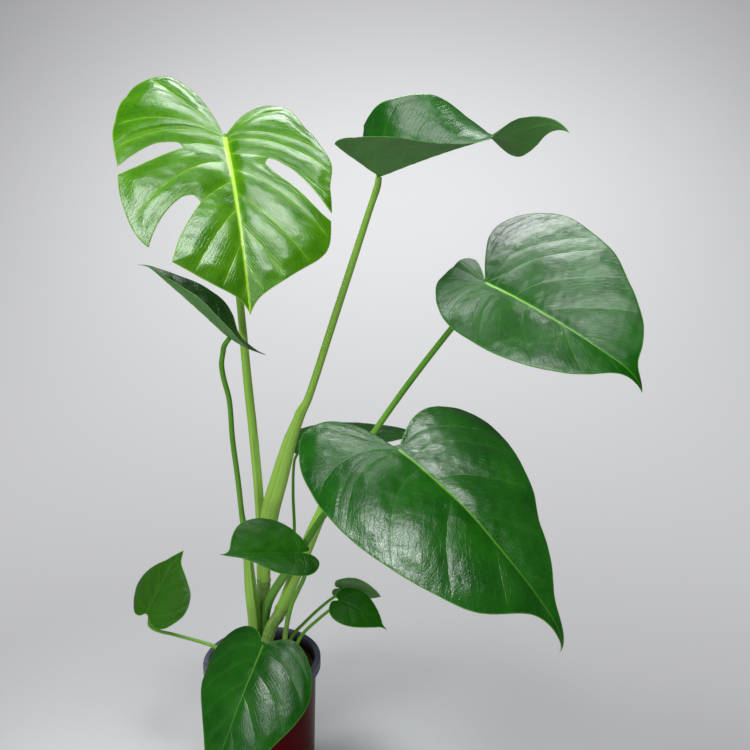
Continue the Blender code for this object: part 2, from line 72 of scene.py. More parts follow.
# joint: where the stalk meets the blade. yaw, pitch: where the midrib points
# as it leaves the joint. roll: turn about the midrib. droop, curl: how far the
# midrib has bent down by the tip, along its length and over its last fifth.
# back: bend of the lobes behind the joint. fold: rise of each half from the
# midrib. cup: how much each half then bends down. notch: angle of the notch.
# drip: length of the narrow tip that stands beyond the rounded outline.
# bow: how much the stalk keeps its own course where it meets the blade.
# rear: how soon the lobes behind the joint bend, below 1 sooner.
# A fold that changes along the blade is a pair of rows, read at FOLD_AT.
# The first of each pair is the left half, seen from above along the midrib.
FOLD_AT = (-0.35, -0.1, 0.15, 0.35, 0.55, 0.75, 1.0)
BLADES = {
    "leaf_blade_fenestrated": dict(
        joint=(-20, 0, 692), yaw=-72, pitch=-36, roll=-2, length=208,
        droop=26, curl=0, back=0, fold=11, cup=(20, 13), twist=-3,
        notch=(153, 172), drip=12,
        left=(196, 185, 175, 167, 139, 115, 107, 93, 86, 87, 78, 51),
        right=(196, 187, 178, 172, 147, 118, 107, 101, 102, 110, 112, 74),
        grid=17,
        # Each slit runs in from the margin: points along its two edges from
        # its blind end, as (along the midrib, across it).
        slits=(
            (((22, -45), (28, -66), (49, -89), (71, -107)),
             ((30, -42), (40, -56), (59, -81), (80, -108))),
            (((91, -38), (97, -50), (118, -67), (144, -79), (166, -84)),
             ((99, -33), (110, -40), (139, -55), (153, -60), (172, -66))),
            (((36, 37), (41, 46), (57, 61), (83, 76), (117, 93)),
             ((43, 32), (56, 39), (79, 58), (106, 78), (120, 92))),
        ),
    ),
    "leaf_blade_top_right": dict(
        joint=(130, 30, 657), yaw=-6, pitch=22, roll=0, length=198,
        droop=12, curl=60, back=-62, rear=0.8, cup=(10, 12), twist=0,
        fold=((0, 34, 66, 60, 24, -34, -54), (19, 24, 19, 6, -2, 24, 46)),
        notch=(118, 108),
        left=(186, 172, 160, 146, 129, 112, 98, 88, 84, 82, 78, 58),
        right=(186, 162, 140, 123, 110, 99, 93, 92, 97, 105, 113, 105),
        drip=12, bow=4.0, grid=18,
    ),
    "leaf_blade_right": dict(
        joint=(237, 0, 552), yaw=-56, pitch=-13, roll=30, length=208,
        droop=18, curl=75, back=-5, fold=10, cup=(8, 14), twist=-3,
        notch=(139, 216), drip=25,
        left=(183, 179, 169, 152, 137, 127, 119, 115, 114, 108, 95, 70),
        right=(183, 171, 148, 118, 91, 70, 57, 51, 50, 51, 53, 40),
        grid=18,
    ),
    "leaf_blade_large": dict(
        joint=(147, -120, 414), yaw=-50, pitch=-15, roll=13, length=230,
        droop=37, curl=78, back=-5, fold=5, cup=(21, 23), twist=-3,
        notch=(128, 178), drip=40,
        left=(190, 176, 157, 136, 125, 113, 107, 102, 99, 95, 80, 50),
        right=(190, 180, 171, 149, 127, 109, 97, 90, 89, 91, 80, 48),
        grid=18,
    ),
    "leaf_blade_back": dict(
        joint=(36, 80, 361), yaw=10, pitch=9, roll=0, length=150,
        droop=18, curl=0, back=0, fold=4, cup=(15, 15), twist=0,
        notch=(150, 150),
        left=(150, 132, 115, 100, 88, 77, 66, 54, 40, 28, 18, 11),
        right=(150, 132, 115, 100, 88, 77, 66, 54, 40, 28, 18, 11),
        grid=14,
    ),
    "leaf_blade_left": dict(
        joint=(-15, -40, 502), yaw=180, pitch=44, roll=0, length=112,
        droop=2, curl=50, back=-88, cup=(8, 8), twist=0,
        fold=((20, 22, 26, 28, 28, 26, 18), (-6, -2, 13, 22, 26, 25, 10)),
        notch=(150, 160),
        left=(102, 89, 77, 67, 60, 54, 50, 46, 42, 38, 32, 20),
        right=(102, 89, 77, 68, 61, 56, 52, 50, 49, 48, 46, 34),
        drip=10, bow=1.0,
        grid=14,
    ),
    "leaf_blade_middle": dict(
        joint=(51, -60, 287), yaw=206, pitch=13, roll=-27, length=82,
        droop=11, curl=-25, back=-6, fold=12, cup=(16, 13), twist=2,
        notch=(174, 172), drip=9,
        left=(73, 60, 52, 46, 41, 36, 33, 30, 26, 22, 17, 11),
        right=(73, 71, 70, 68, 61, 48, 33, 21, 15, 13, 12, 10),
        grid=11,
    ),
    "leaf_blade_front": dict(
        joint=(15, -85, 200), yaw=-113, pitch=-35, roll=0, length=128,
        droop=12, curl=0, back=0, fold=-4, cup=(23, 25), twist=0,
        notch=(128, 143),
        left=(128, 122, 114, 103, 92, 83, 75, 63, 50, 40, 31, 18),
        right=(128, 114, 99, 88, 80, 74, 69, 63, 52, 40, 27, 14),
        grid=14,
    ),
    "leaf_blade_small_left": dict(
        joint=(-126, 0, 188), yaw=53, pitch=52, roll=3, length=77,
        droop=16, curl=0, back=0, fold=4, cup=(29, 27), twist=3,
        notch=(131, 130),
        left=(77, 68, 61, 58, 56, 54, 49, 37, 26, 19, 14, 9),
        right=(77, 65, 60, 57, 55, 54, 51, 46, 38, 32, 24, 14),
        grid=11,
    ),
    "leaf_blade_small_back": dict(
        joint=(88, 20, 207), yaw=8, pitch=-10, roll=-62, length=46,
        droop=15, curl=0, back=0, fold=6, cup=(15, 15), twist=0,
        notch=(172, 172), left=scaled(OVATE, 46), right=scaled(OVATE, 46),
        grid=9,
    ),
    "leaf_blade_small_front": dict(
        joint=(87, -10, 208), yaw=-20, pitch=-12, roll=16, length=60,
        droop=30, curl=0, back=0, fold=6, cup=(20, 20), twist=0,
        notch=(155, 155), drip=7,
        left=(54, 50, 45, 40, 36, 32, 28, 23, 17, 12, 9, 6),
        right=(54, 50, 45, 40, 36, 32, 28, 23, 17, 12, 9, 6),
        grid=9,
    ),
}

# Points (x, y, z, radius) from the foot up. The last bend and the end that
# meets the blade's underside are added from the blade's own joint.
STALKS = {
    "leaf_stalk_fenestrated": (
        "leaf_blade_fenestrated",
        ((-6, 25, 120.4, 5.5), (-3, 25, 166, 5.5), (-1, 25, 221, 5.0),
         (-1, 20, 314, 5.0), (-5, 18, 393, 4.8), (-9, 19, 447, 4.6),
         (-14, 18, 535, 3.8), (-18, 15, 593, 3.4), (-22, 11, 652, 3.0)),
    ),
    "leaf_stalk_top_right": (
        "leaf_blade_top_right",
        ((3.5, 6, 225.4, 7.2), (4, 6, 240, 7.5), (13, 4, 303, 9.5),
         (24, 5, 342, 9.0), (36, 8, 383, 7.0), (47, 10, 411, 5.0),
         (56, 12, 430, 4.2), (80, 20, 502, 4.0), (103, 26, 571, 3.8),
         (121, 30, 625, 3.4)),
    ),
    "leaf_stalk_right": (
        "leaf_blade_right",
        ((25.7, -18, 203.9, 6.2), (28.8, -18, 211.3, 6.2), (40, -16, 239, 6.5),
         (53, -12, 271, 7.0), (70, -6, 309, 6.0), (94, -1, 346, 4.2),
         (127, 4, 397, 3.4), (164, 10, 449, 3.3), (205, 12, 503, 3.1),
         (226, 9, 529, 2.8)),
    ),
    "leaf_stalk_large": (
        "leaf_blade_large",
        ((4, -3, 120.4, 4.6), (5, -5, 180, 4.8), (12, -11, 210, 4.8),
         (31, -23, 246, 4.6), (49, -33, 277, 3.8), (78, -58, 330, 3.4),
         (112, -90, 372, 3.2), (132, -107, 391, 3.0)),
    ),
    "leaf_stalk_back": (
        "leaf_blade_back",
        ((20, 22, 120.4, 2.6), (26, 24, 166, 2.4), (32, 27, 214, 2.1),
         (35, 36, 270, 1.8), (33, 50, 310, 1.7), (33, 70, 340, 1.6)),
    ),
    "leaf_stalk_left": (
        "leaf_blade_left",
        ((-12, -4, 120.4, 5.5), (-6, -9, 179, 7.0), (-8, -13, 222, 6.4),
         (-10, -16, 270, 4.4), (-13, -20, 308, 3.0), (-15, -25, 351, 2.8),
         (-18, -30, 396, 2.7), (-19, -34, 438, 2.6), (-23, -38, 462, 2.6),
         (-24, -40, 476, 2.6), (-22, -41, 487, 2.5)),
    ),
    "leaf_stalk_middle": (
        "leaf_blade_middle",
        ((24, -24, 120.4, 2.6), (30, -31, 177, 2.6), (38, -40, 217, 2.4),
         (47, -47, 240, 2.3), (54, -53, 258, 2.2), (54, -56, 270, 2.1)),
    ),
    "leaf_stalk_front": (
        "leaf_blade_front",
        ((4, -36, 120.4, 3.0), (6, -43, 151, 2.8), (10, -58, 178, 2.5)),
    ),
    "leaf_stalk_small_left": (
        "leaf_blade_small_left",
        ((-30, -10, 120.4, 2.2), (-36, -10, 144, 2.1), (-51, -10, 153, 2.0),
         (-65, -8, 157, 1.9), (-79, -6, 160, 1.8), (-99, -3, 164, 1.8),
         (-115, -1, 167, 1.8), (-124, 0, 173, 1.7)),
    ),
    "leaf_stalk_small_back": (
        "leaf_blade_small_back",
        ((22, 8, 120.4, 2.0), (33, 10, 154, 1.9), (47, 11, 170, 1.8),
         (61, 12, 184, 1.7), (76, 13, 197, 1.6)),
    ),
    "leaf_stalk_small_front": (
        "leaf_blade_small_front",
        ((29, -9, 120.4, 2.1), (42, -12, 161, 2.0), (49, -12, 172, 1.9),
         (62, -12, 185, 1.8), (75, -11, 196, 1.7)),
    ),
}

STEMS = {
    "stem_back": ((0, 10, 120.4, 7.0), (0, 7, 160, 6.6), (1, 6, 190, 6.8),
                  (3, 6, 216, 7.0), (3.5, 6, 225, 7.9)),
    "stem_front": ((4, -17, 120.4, 6.6), (6, -17, 150, 6.4),
                   (13, -17, 180, 6.4), (22, -18, 195, 6.6),
                   (25.2, -18, 202.7, 7.4)),
}


# --------------------------------------------------- shapes as in the CAD model
def smooth_curve(xs, ys, x):
    """Monotone cubic curve through (xs, ys), so that it never overshoots."""
    xs, ys = np.asarray(xs, float), np.asarray(ys, float)
    step = np.diff(xs)
    slope = np.diff(ys) / step
    m = np.zeros(len(xs))
    for i in range(1, len(xs) - 1):
        a, b = slope[i - 1], slope[i]
        if a * b > 0:
            w1 = 2 * step[i] + step[i - 1]
            w2 = step[i] + 2 * step[i - 1]
            m[i] = (w1 + w2) / (w1 / a + w2 / b)
    m[0], m[-1] = slope[0], slope[-1]
    x = np.clip(np.asarray(x, float), xs[0], xs[-1])
    i = np.clip(np.searchsorted(xs, x) - 1, 0, len(xs) - 2)
    t = (x - xs[i]) / step[i]
    return (
        (1 + 2 * t) * (1 - t) ** 2 * ys[i]
        + t * (1 - t) ** 2 * step[i] * m[i]
        + t * t * (3 - 2 * t) * ys[i + 1]
        + t * t * (t - 1) * step[i] * m[i + 1]
    )


def row_lengths(points):
    """Distance from the first row to each row, by the rows' x, y and z."""
    points = np.asarray(points, float)
    gaps = np.linalg.norm(np.diff(points[:, :3], axis=0), axis=1)
    return np.concatenate([[0], np.cumsum(gaps)])


def through(points, at):
    """Smooth path through rows of numbers, read at the given row lengths."""
    points = np.asarray(points, float)
    s = row_lengths(points)
    tangent = np.zeros_like(points)
    tangent[1:-1] = (points[2:] - points[:-2]) / (s[2:] - s[:-2])[:, None]
    tangent[0] = (points[1] - points[0]) / (s[1] - s[0])
    tangent[-1] = (points[-1] - points[-2]) / (s[-1] - s[-2])
    at = np.clip(np.asarray(at, float), 0, s[-1])
    i = np.clip(np.searchsorted(s, at) - 1, 0, len(s) - 2)
    h = (s[i + 1] - s[i])[:, None]
    t = (at - s[i])[:, None] / h
    return (
        (1 + 2 * t) * (1 - t) ** 2 * points[i]
        + t * (1 - t) ** 2 * h * tangent[i]
        + t * t * (3 - 2 * t) * points[i + 1]
        + t * t * (t - 1) * h * tangent[i + 1]
    )


def blade_axes(leaf):
    yaw, pitch, roll = (math.radians(leaf[k]) for k in ("yaw", "pitch", "roll"))
    along = np.array([math.cos(pitch) * math.cos(yaw),
                      math.cos(pitch) * math.sin(yaw), math.sin(pitch)])
    left = np.array([-math.sin(yaw), math.cos(yaw), 0.0])
    up = np.cross(along, left)
    return (along, left * math.cos(roll) + up * math.sin(roll),
            up * math.cos(roll) - left * math.sin(roll))


def fold_angle(leaf, t, on_left):
    """Rise in degrees of a half beside the midrib, at t along the blade."""
    if not isinstance(leaf["fold"], tuple):
        return leaf["fold"] + 0.0 * t
    return np.where(on_left, *(smooth_curve(FOLD_AT, side, t) for side in leaf["fold"]))


def blade_surface(leaf, u, v):
    """Points in metres of the blade at u along the midrib and v to its left,
    both in millimetres from the joint and measured along the blade."""
    u, v = np.asarray(u, float), np.asarray(v, float)
    length, half = leaf["length"], leaf["length"] / 2
    along, left, up = blade_axes(leaf)
    stations = np.linspace(-0.6, 1.1, 171)

    def bend(t):
        front = np.clip(t, 0, None)
        return (
            -math.radians(leaf["droop"]) * front
            - math.radians(leaf["curl"]) * np.clip((t - 0.82) / 0.18, 0, None) ** 1.5
            + math.radians(leaf["back"]) * np.clip(-t, 0, None) ** leaf.get("rear", 1.0)
        )

    middle = bend((stations[1:] + stations[:-1]) / 2)
    step = (stations[1] - stations[0]) * length
    run = np.concatenate([[0], np.cumsum(np.cos(middle) * step)])
    climb = np.concatenate([[0], np.cumsum(np.sin(middle) * step)])
    run -= np.interp(0, stations, run)
    climb -= np.interp(0, stations, climb)
    t = u / length
    x, z, a = np.interp(t, stations, run), np.interp(t, stations, climb), bend(t)
    w = np.abs(v) / half
    fold = np.radians(fold_angle(leaf, t, v > 0))
    cup = np.where(v > 0, *(math.radians(c) for c in leaf["cup"]))
    y = np.sign(v) * half / cup * (np.sin(fold) - np.sin(fold - cup * w))
    h = half / cup * (np.cos(fold - cup * w) - np.cos(fold))
    turn = math.radians(leaf["twist"]) * t
    y, h = y * np.cos(turn) - h * np.sin(turn), y * np.sin(turn) + h * np.cos(turn)
    x, z = x - h * np.sin(a), z + h * np.cos(a)
    points = (np.asarray(leaf["joint"], float)
              + x[..., None] * along + y[..., None] * left + z[..., None] * up)
    return points * MM


def margin_radius(leaf, angle, on_left):
    """Distance from the joint to the margin of one half, at angles in degrees
    from the midrib. A half may reach past 180, behind the joint."""
    radii, notch = leaf["left" if on_left else "right"], leaf["notch"][0 if on_left else 1]
    shares = np.clip(np.asarray(angle, float) / notch, 0, 1)
    reach = smooth_curve(SHARES + (1.0,), tuple(radii) + (0.03 * leaf["length"],), shares)
    return reach + leaf.get("drip", 0.0) * np.exp(-np.asarray(angle, float) / 1.5)


def resampled(path, spacing):
    path = np.asarray(path, float)
    s = np.concatenate([[0], np.cumsum(np.linalg.norm(np.diff(path, axis=0), axis=1))])
    at = np.linspace(0, s[-1], max(2, int(round(s[-1] / spacing)) + 1))
    return np.column_stack([np.interp(at, s, path[:, 0]), np.interp(at, s, path[:, 1])])


def blade_outline(leaf, spacing):
    """Closed outline from the notch round the left half to the tip and back."""
    halves = []
    for sign, notch in ((1, leaf["notch"][0]), (-1, leaf["notch"][1])):
        # The rays stand closer together where the tip narrows.
        angle = notch * np.linspace(1, 0, 420) ** 1.6
        ray = np.column_stack([np.cos(np.radians(angle)), sign * np.sin(np.radians(angle))])
        halves.append(ray * margin_radius(leaf, angle, sign > 0)[:, None])
    left, right = halves[0], halves[1][::-1]
    for first, second in leaf.get("slits", ()):
        cuts = []
        for edge in (first, second):
            edge = np.column_stack([edge, np.zeros(len(edge))])
            at = np.linspace(0, row_lengths(edge)[-1], 60)
            edge = resampled(through(edge, at)[:, :2], 1.0)
            turned = np.degrees(np.arctan2(np.abs(edge[:, 1]), edge[:, 0]))
            inside = np.hypot(*edge.T) < margin_radius(leaf, turned, edge[0][1] > 0)
            last = len(edge) if inside.all() else int(np.argmin(inside))
            cuts.append(edge[:last])
        on_left = cuts[0][-1][1] > 0
        half = left if on_left else right
        angles = np.degrees(np.arctan2(np.abs(half[:, 1]), half[:, 0]))
        ends = [math.degrees(math.atan2(abs(c[-1][1]), c[-1][0])) for c in cuts]
        wide, narrow = (0, 1) if ends[0] > ends[1] else (1, 0)
        order = (wide, narrow) if on_left else (narrow, wide)
        before = half[angles > ends[wide]] if on_left else half[angles < ends[narrow]]
        after = half[angles < ends[narrow]] if on_left else half[angles > ends[wide]]
        half = np.vstack([before, cuts[order[0]][::-1], cuts[order[1]][1:], after])
        left, right = (half, right) if on_left else (left, half)
    left = resampled(left, spacing)
    right = resampled(right, spacing)
    return np.vstack([left, right[1:]])


def inside_outline(points, outline):
    x, y = points[:, 0][:, None], points[:, 1][:, None]
    a, b = outline, np.roll(outline, -1, axis=0)
    crosses = (a[:, 1] > y) != (b[:, 1] > y)
    with np.errstate(divide="ignore", invalid="ignore"):
        at = a[:, 0] + (y - a[:, 1]) * (b[:, 0] - a[:, 0]) / (b[:, 1] - a[:, 1])
    return (crosses & (x < at)).sum(axis=1) % 2 == 1


def stalk_end(leaf, rows):
    """The way the stalk runs into its blade, and its slope off square to it."""
    up = blade_axes(leaf)[2]
    course = np.asarray(leaf["joint"], float) - np.asarray(rows[-1][:3], float)
    course = course / np.linalg.norm(course)
    into = up + leaf.get("bow", 0.0) * course
    into = into / np.linalg.norm(into)
    return into, math.acos(min(1.0, float(into @ up)))


# ------------------------------------------------------------------- looks
# tone: which leaf finish. grid: spacing of the mesh. veins: main side veins on
# each half. sweep: how far the side veins lean forward at the base, how much
# more towards the tip, and how much they curve. quilt: rise of the blade
# between side veins as a share of their spacing. wave: (height, count, phase)
# of the margin. rib: half width of the midrib. pale: how pale the midrib and
# veins are. Painted shade: how much darker a leaf that lies in shadow is
# painted. lively: how much fresher the leaf is than others. leather: how deep
# its fine creases are. satin: added roughness. dull: spots (along, across,
# size as shares of the length, how much) with less shine, or with more where
# how much is negative.
LOOKS = {
    "leaf_blade_fenestrated": dict(tone="young", grid=1.2, veins=7.2, sweep=(-0.42, 3.6, 1.5),
                                   quilt=0.060, wave=(1.0, 9, 0.6), rib=2.3, pale=1.0, painted_shade=0.0, leather=0.45, lively=0, satin=0,
        dull=((-0.05, -0.28, 0.34, 0.85), (0.0, 0.25, 0.30, 0.65), (0.40, -0.04, 0.14, 0.6)), seed=1),
    "leaf_blade_top_right": dict(tone="mature", grid=1.3, veins=5.6, sweep=(-0.40, 3.2, 1.6),
                                 quilt=0.020, wave=(1.2, 7, 1.4), rib=1.7, pale=0.45, painted_shade=0.0, leather=0.25, lively=0, satin=0.12,
        dull=((0.40, 0.22, 0.40, 0.45),), seed=2),
    "leaf_blade_right": dict(tone="mature", grid=1.3, veins=5.4, sweep=(-0.45, 3.4, 1.9),
                             quilt=0.022, wave=(0.9, 8, 2.1), rib=1.9, pale=1.0, painted_shade=0.0, leather=0.3, lively=0, satin=0.1,
        dull=((0.85, 0.10, 0.28, 0.88), (-0.16, -0.12, 0.24, 0.88), (0.05, 0.30, 0.24, -0.7)), seed=3),
    "leaf_blade_large": dict(tone="mature", grid=1.3, veins=5.2, sweep=(-0.50, 3.2, 2.1),
                             quilt=0.036, wave=(1.2, 9, 0.3), rib=1.8, pale=0.60, painted_shade=0.0, leather=0.72, lively=0, satin=0.04,
        dull=((0.22, -0.13, 0.17, 0.8), (0.50, -0.06, 0.14, 0.6), (0.34, -0.38, 0.13, -0.9),
              (0.56, -0.28, 0.13, -0.9), (0.06, 0.16, 0.15, -2.0), (0.22, 0.12, 0.11, -1.0)), seed=4),
    "leaf_blade_back": dict(tone="mature", grid=1.3, veins=5.0, sweep=(-0.4, 3.2, 1.6),
                            quilt=0.045, wave=(0.8, 7, 0.9), rib=1.3, pale=0.3, painted_shade=0.2, leather=0.5, lively=0, satin=0.05,
        dull=(), seed=5),
    "leaf_blade_left": dict(tone="mature", grid=1.1, veins=5.0, sweep=(-0.3, 3.0, 1.4),
                            quilt=0.030, wave=(0.7, 7, 2.9), rib=1.0, pale=0.45, painted_shade=0.12, leather=0.4, lively=0, satin=0.05,
        dull=((0.5, 0.0, 2.0, 0.5),), seed=6),
    "leaf_blade_middle": dict(tone="mature", grid=0.9, veins=4.6, sweep=(-0.3, 3.0, 1.4),
                              quilt=0.018, wave=(0.5, 6, 0.2), rib=0.8, pale=0.0, painted_shade=0.0, leather=0.15, lively=0.10, satin=0.05,
        dull=((0.4, 0.0, 2.0, 0.85),), seed=7),
    "leaf_blade_front": dict(tone="mature", grid=1.0, veins=5.4, sweep=(-0.35, 3.2, 1.6),
                             quilt=0.044, wave=(0.7, 8, 1.8), rib=1.1, pale=0.42, painted_shade=0.0, leather=0.35, lively=0, satin=0.04,
        dull=((0.36, 0.25, 0.20, -0.9), (0.55, 0.12, 0.14, -0.6)), seed=8),
    "leaf_blade_small_left": dict(tone="mature", grid=0.8, veins=5.2, sweep=(-0.3, 3.0, 1.4),
                                  quilt=0.13, wave=(0.7, 7, 1.1), rib=0.7, pale=0.15, painted_shade=0.0, leather=0.2, lively=0.36, satin=0.05,
        dull=(), seed=9),
    "leaf_blade_small_back": dict(tone="mature", grid=0.8, veins=4.2, sweep=(-0.3, 3.0, 1.4),
                                  quilt=0.05, wave=(0.4, 5, 0.7), rib=0.6, pale=0.2, painted_shade=0.5, leather=0.2, lively=0, satin=0.05,
        dull=(), seed=10),
    "leaf_blade_small_front": dict(tone="mature", grid=0.8, veins=4.4, sweep=(-0.3, 3.0, 1.4),
                                   quilt=0.035, wave=(0.4, 6, 2.2), rib=0.6, pale=0.10, painted_shade=0.2, leather=0.2, lively=0.08, satin=0.05,
        dull=((0.4, 0.0, 2.0, 0.85),), seed=11),
}

# tone: which stalk finish. face: the way the channel along the stalk faces.
# sheath: (depth of its channel, how far up it goes), as shares of the radius
# and of the stalk's length.
STALK_LOOKS = {
    "leaf_stalk_fenestrated": dict(tone="light", face=(0.5, -0.8, 0.2), sheath=(0.16, 0.46)),
    "leaf_stalk_top_right": dict(tone="light", face=(-0.75, -0.6, 0.3), sheath=(0.42, 0.44)),
    "leaf_stalk_right": dict(tone="mid", face=(-0.8, -0.4, 0.4), sheath=(0.34, 0.30)),
    # Painted shade: this stalk lies in shadow under its blade and takes the dark tone.
    "leaf_stalk_large": dict(tone="dark", face=(-0.5, 0.3, 0.8), sheath=(0.22, 0.46)),
    "leaf_stalk_back": dict(tone="mid", face=(-0.4, -0.9, 0.1), sheath=(0.20, 0.35)),
    "leaf_stalk_left": dict(tone="mid", face=(0.9, -0.3, 0.1), sheath=(0.30, 0.48)),
    "leaf_stalk_middle": dict(tone="mid", face=(-0.7, 0.5, 0.4), sheath=(0.22, 0.4)),
    "leaf_stalk_front": dict(tone="mid", face=(0.1, 0.9, 0.4), sheath=(0.22, 0.4)),
    "leaf_stalk_small_left": dict(tone="mid", face=(0.3, 0.1, 0.95), sheath=(0.2, 0.3)),
    "leaf_stalk_small_back": dict(tone="mid", face=(-0.6, -0.2, 0.8), sheath=(0.2, 0.3)),
    "leaf_stalk_small_front": dict(tone="mid", face=(-0.6, 0.1, 0.8), sheath=(0.2, 0.3)),
}


# --------------------------------------------------------------- materials
class Finish:
    """A material and short ways of wiring its nodes."""

    def __init__(self, name, roughness=0.5, specular=0.5, coat=(0.0, 0.1), subsurface=0.0):
        self.mat = bpy.data.materials.new(name)
        self.mat.use_nodes = True
        self.tree = self.mat.node_tree
        self.shader = self.tree.nodes["Principled BSDF"]
        self.shader.inputs["Roughness"].default_value = roughness
        self.shader.inputs["Specular IOR Level"].default_value = specular
        self.shader.inputs["Coat Weight"].default_value = coat[0]
        self.shader.inputs["Coat Roughness"].default_value = coat[1]
        if subsurface:
            self.shader.inputs["Subsurface Weight"].default_value = subsurface
            self.shader.inputs["Subsurface Radius"].default_value = (0.4, 1.0, 0.15)
            self.shader.inputs["Subsurface Scale"].default_value = 0.002

    def node(self, kind, **settings):
        made = self.tree.nodes.new(kind)
        for key, value in settings.items():
            setattr(made, key, value)
        return made

    def feed(self, socket, value):
        if isinstance(value, bpy.types.NodeSocket):
            self.tree.links.new(value, socket)
        elif value is not None:
            socket.default_value = value

    def attribute(self, name, kind="Fac"):
        return self.node("ShaderNodeAttribute", attribute_name=name).outputs[kind]

    def split(self, vector):
        made = self.node("ShaderNodeSeparateXYZ")
        self.feed(made.inputs[0], vector)
        return made.outputs[0], made.outputs[1], made.outputs[2]

    def join(self, x, y, z):
        made = self.node("ShaderNodeCombineXYZ")
        for socket, value in zip(made.inputs, (x, y, z)):
            self.feed(socket, value)
        return made.outputs[0]

    def math(self, operation, a, b=None, c=None, clamp=False):
        made = self.node("ShaderNodeMath", operation=operation, use_clamp=clamp)
        for socket, value in zip(made.inputs, (a, b, c)):
            self.feed(socket, value)
        return made.outputs[0]

    def fade(self, value, start, end, low=0.0, high=1.0):
        """Smooth step of value from low at start to high at end."""
        made = self.node("ShaderNodeMapRange", interpolation_type="SMOOTHSTEP")
        for socket, v in zip(made.inputs[:5], (value, start, end, low, high)):
            self.feed(socket, v)
        return made.outputs[0]

    def noise(self, vector, scale, detail=2.0, roughness=0.5, distortion=0.0):
        made = self.node("ShaderNodeTexNoise")
        self.feed(made.inputs["Vector"], vector)
        made.inputs["Scale"].default_value = scale
        made.inputs["Detail"].default_value = detail
        made.inputs["Roughness"].default_value = roughness
        made.inputs["Distortion"].default_value = distortion
        return made.outputs["Fac"]

    def cells(self, vector, scale, feature="F1"):
        made = self.node("ShaderNodeTexVoronoi", feature=feature)
        self.feed(made.inputs["Vector"], vector)
        made.inputs["Scale"].default_value = scale
        return made.outputs["Distance"]

    def stretch(self, vector, by):
        made = self.node("ShaderNodeVectorMath", operation="MULTIPLY")
        self.feed(made.inputs[0], vector)
        made.inputs[1].default_value = by
        return made.outputs[0]

    def mix(self, factor, a, b, blend="MIX"):
        made = self.node("ShaderNodeMix", data_type="RGBA", blend_type=blend)
        self.feed(made.inputs[0], factor)
        for socket, value in ((made.inputs[6], a), (made.inputs[7], b)):
            self.feed(socket, (*value, 1.0) if isinstance(value, tuple) else value)
        return made.outputs[2]

    def bump(self, height, strength, distance, under=None):
        made = self.node("ShaderNodeBump")
        made.inputs["Strength"].default_value = strength
        made.inputs["Distance"].default_value = distance
        self.feed(made.inputs["Height"], height)
        if under is not None:
            self.feed(made.inputs["Normal"], under)
        return made.outputs["Normal"]


# under: the underside colour, paler than the top and brightened further as painted light that shines through the leaf.
LEAF_TONES = {
    "young": dict(deep=(0.019, 0.108, 0.0004), fresh=(0.052, 0.180, 0.0010), vein=(0.20, 0.44, 0.018),
                  rib=(0.34, 0.56, 0.040), under=(0.15, 0.34, 0.050), margin=(0.24, 0.46, 0.04),
                  gloss=0.20, veins=0.50, sheen=0.34),
    "mature": dict(deep=(0.0016, 0.050, 0.0008), fresh=(0.0080, 0.088, 0.0022), vein=(0.045, 0.190, 0.022),
                   rib=(0.16, 0.42, 0.030), under=(0.105, 0.275, 0.068), margin=(0.105, 0.30, 0.040),
                   gloss=0.22, veins=0.30, sheen=0.38),
}


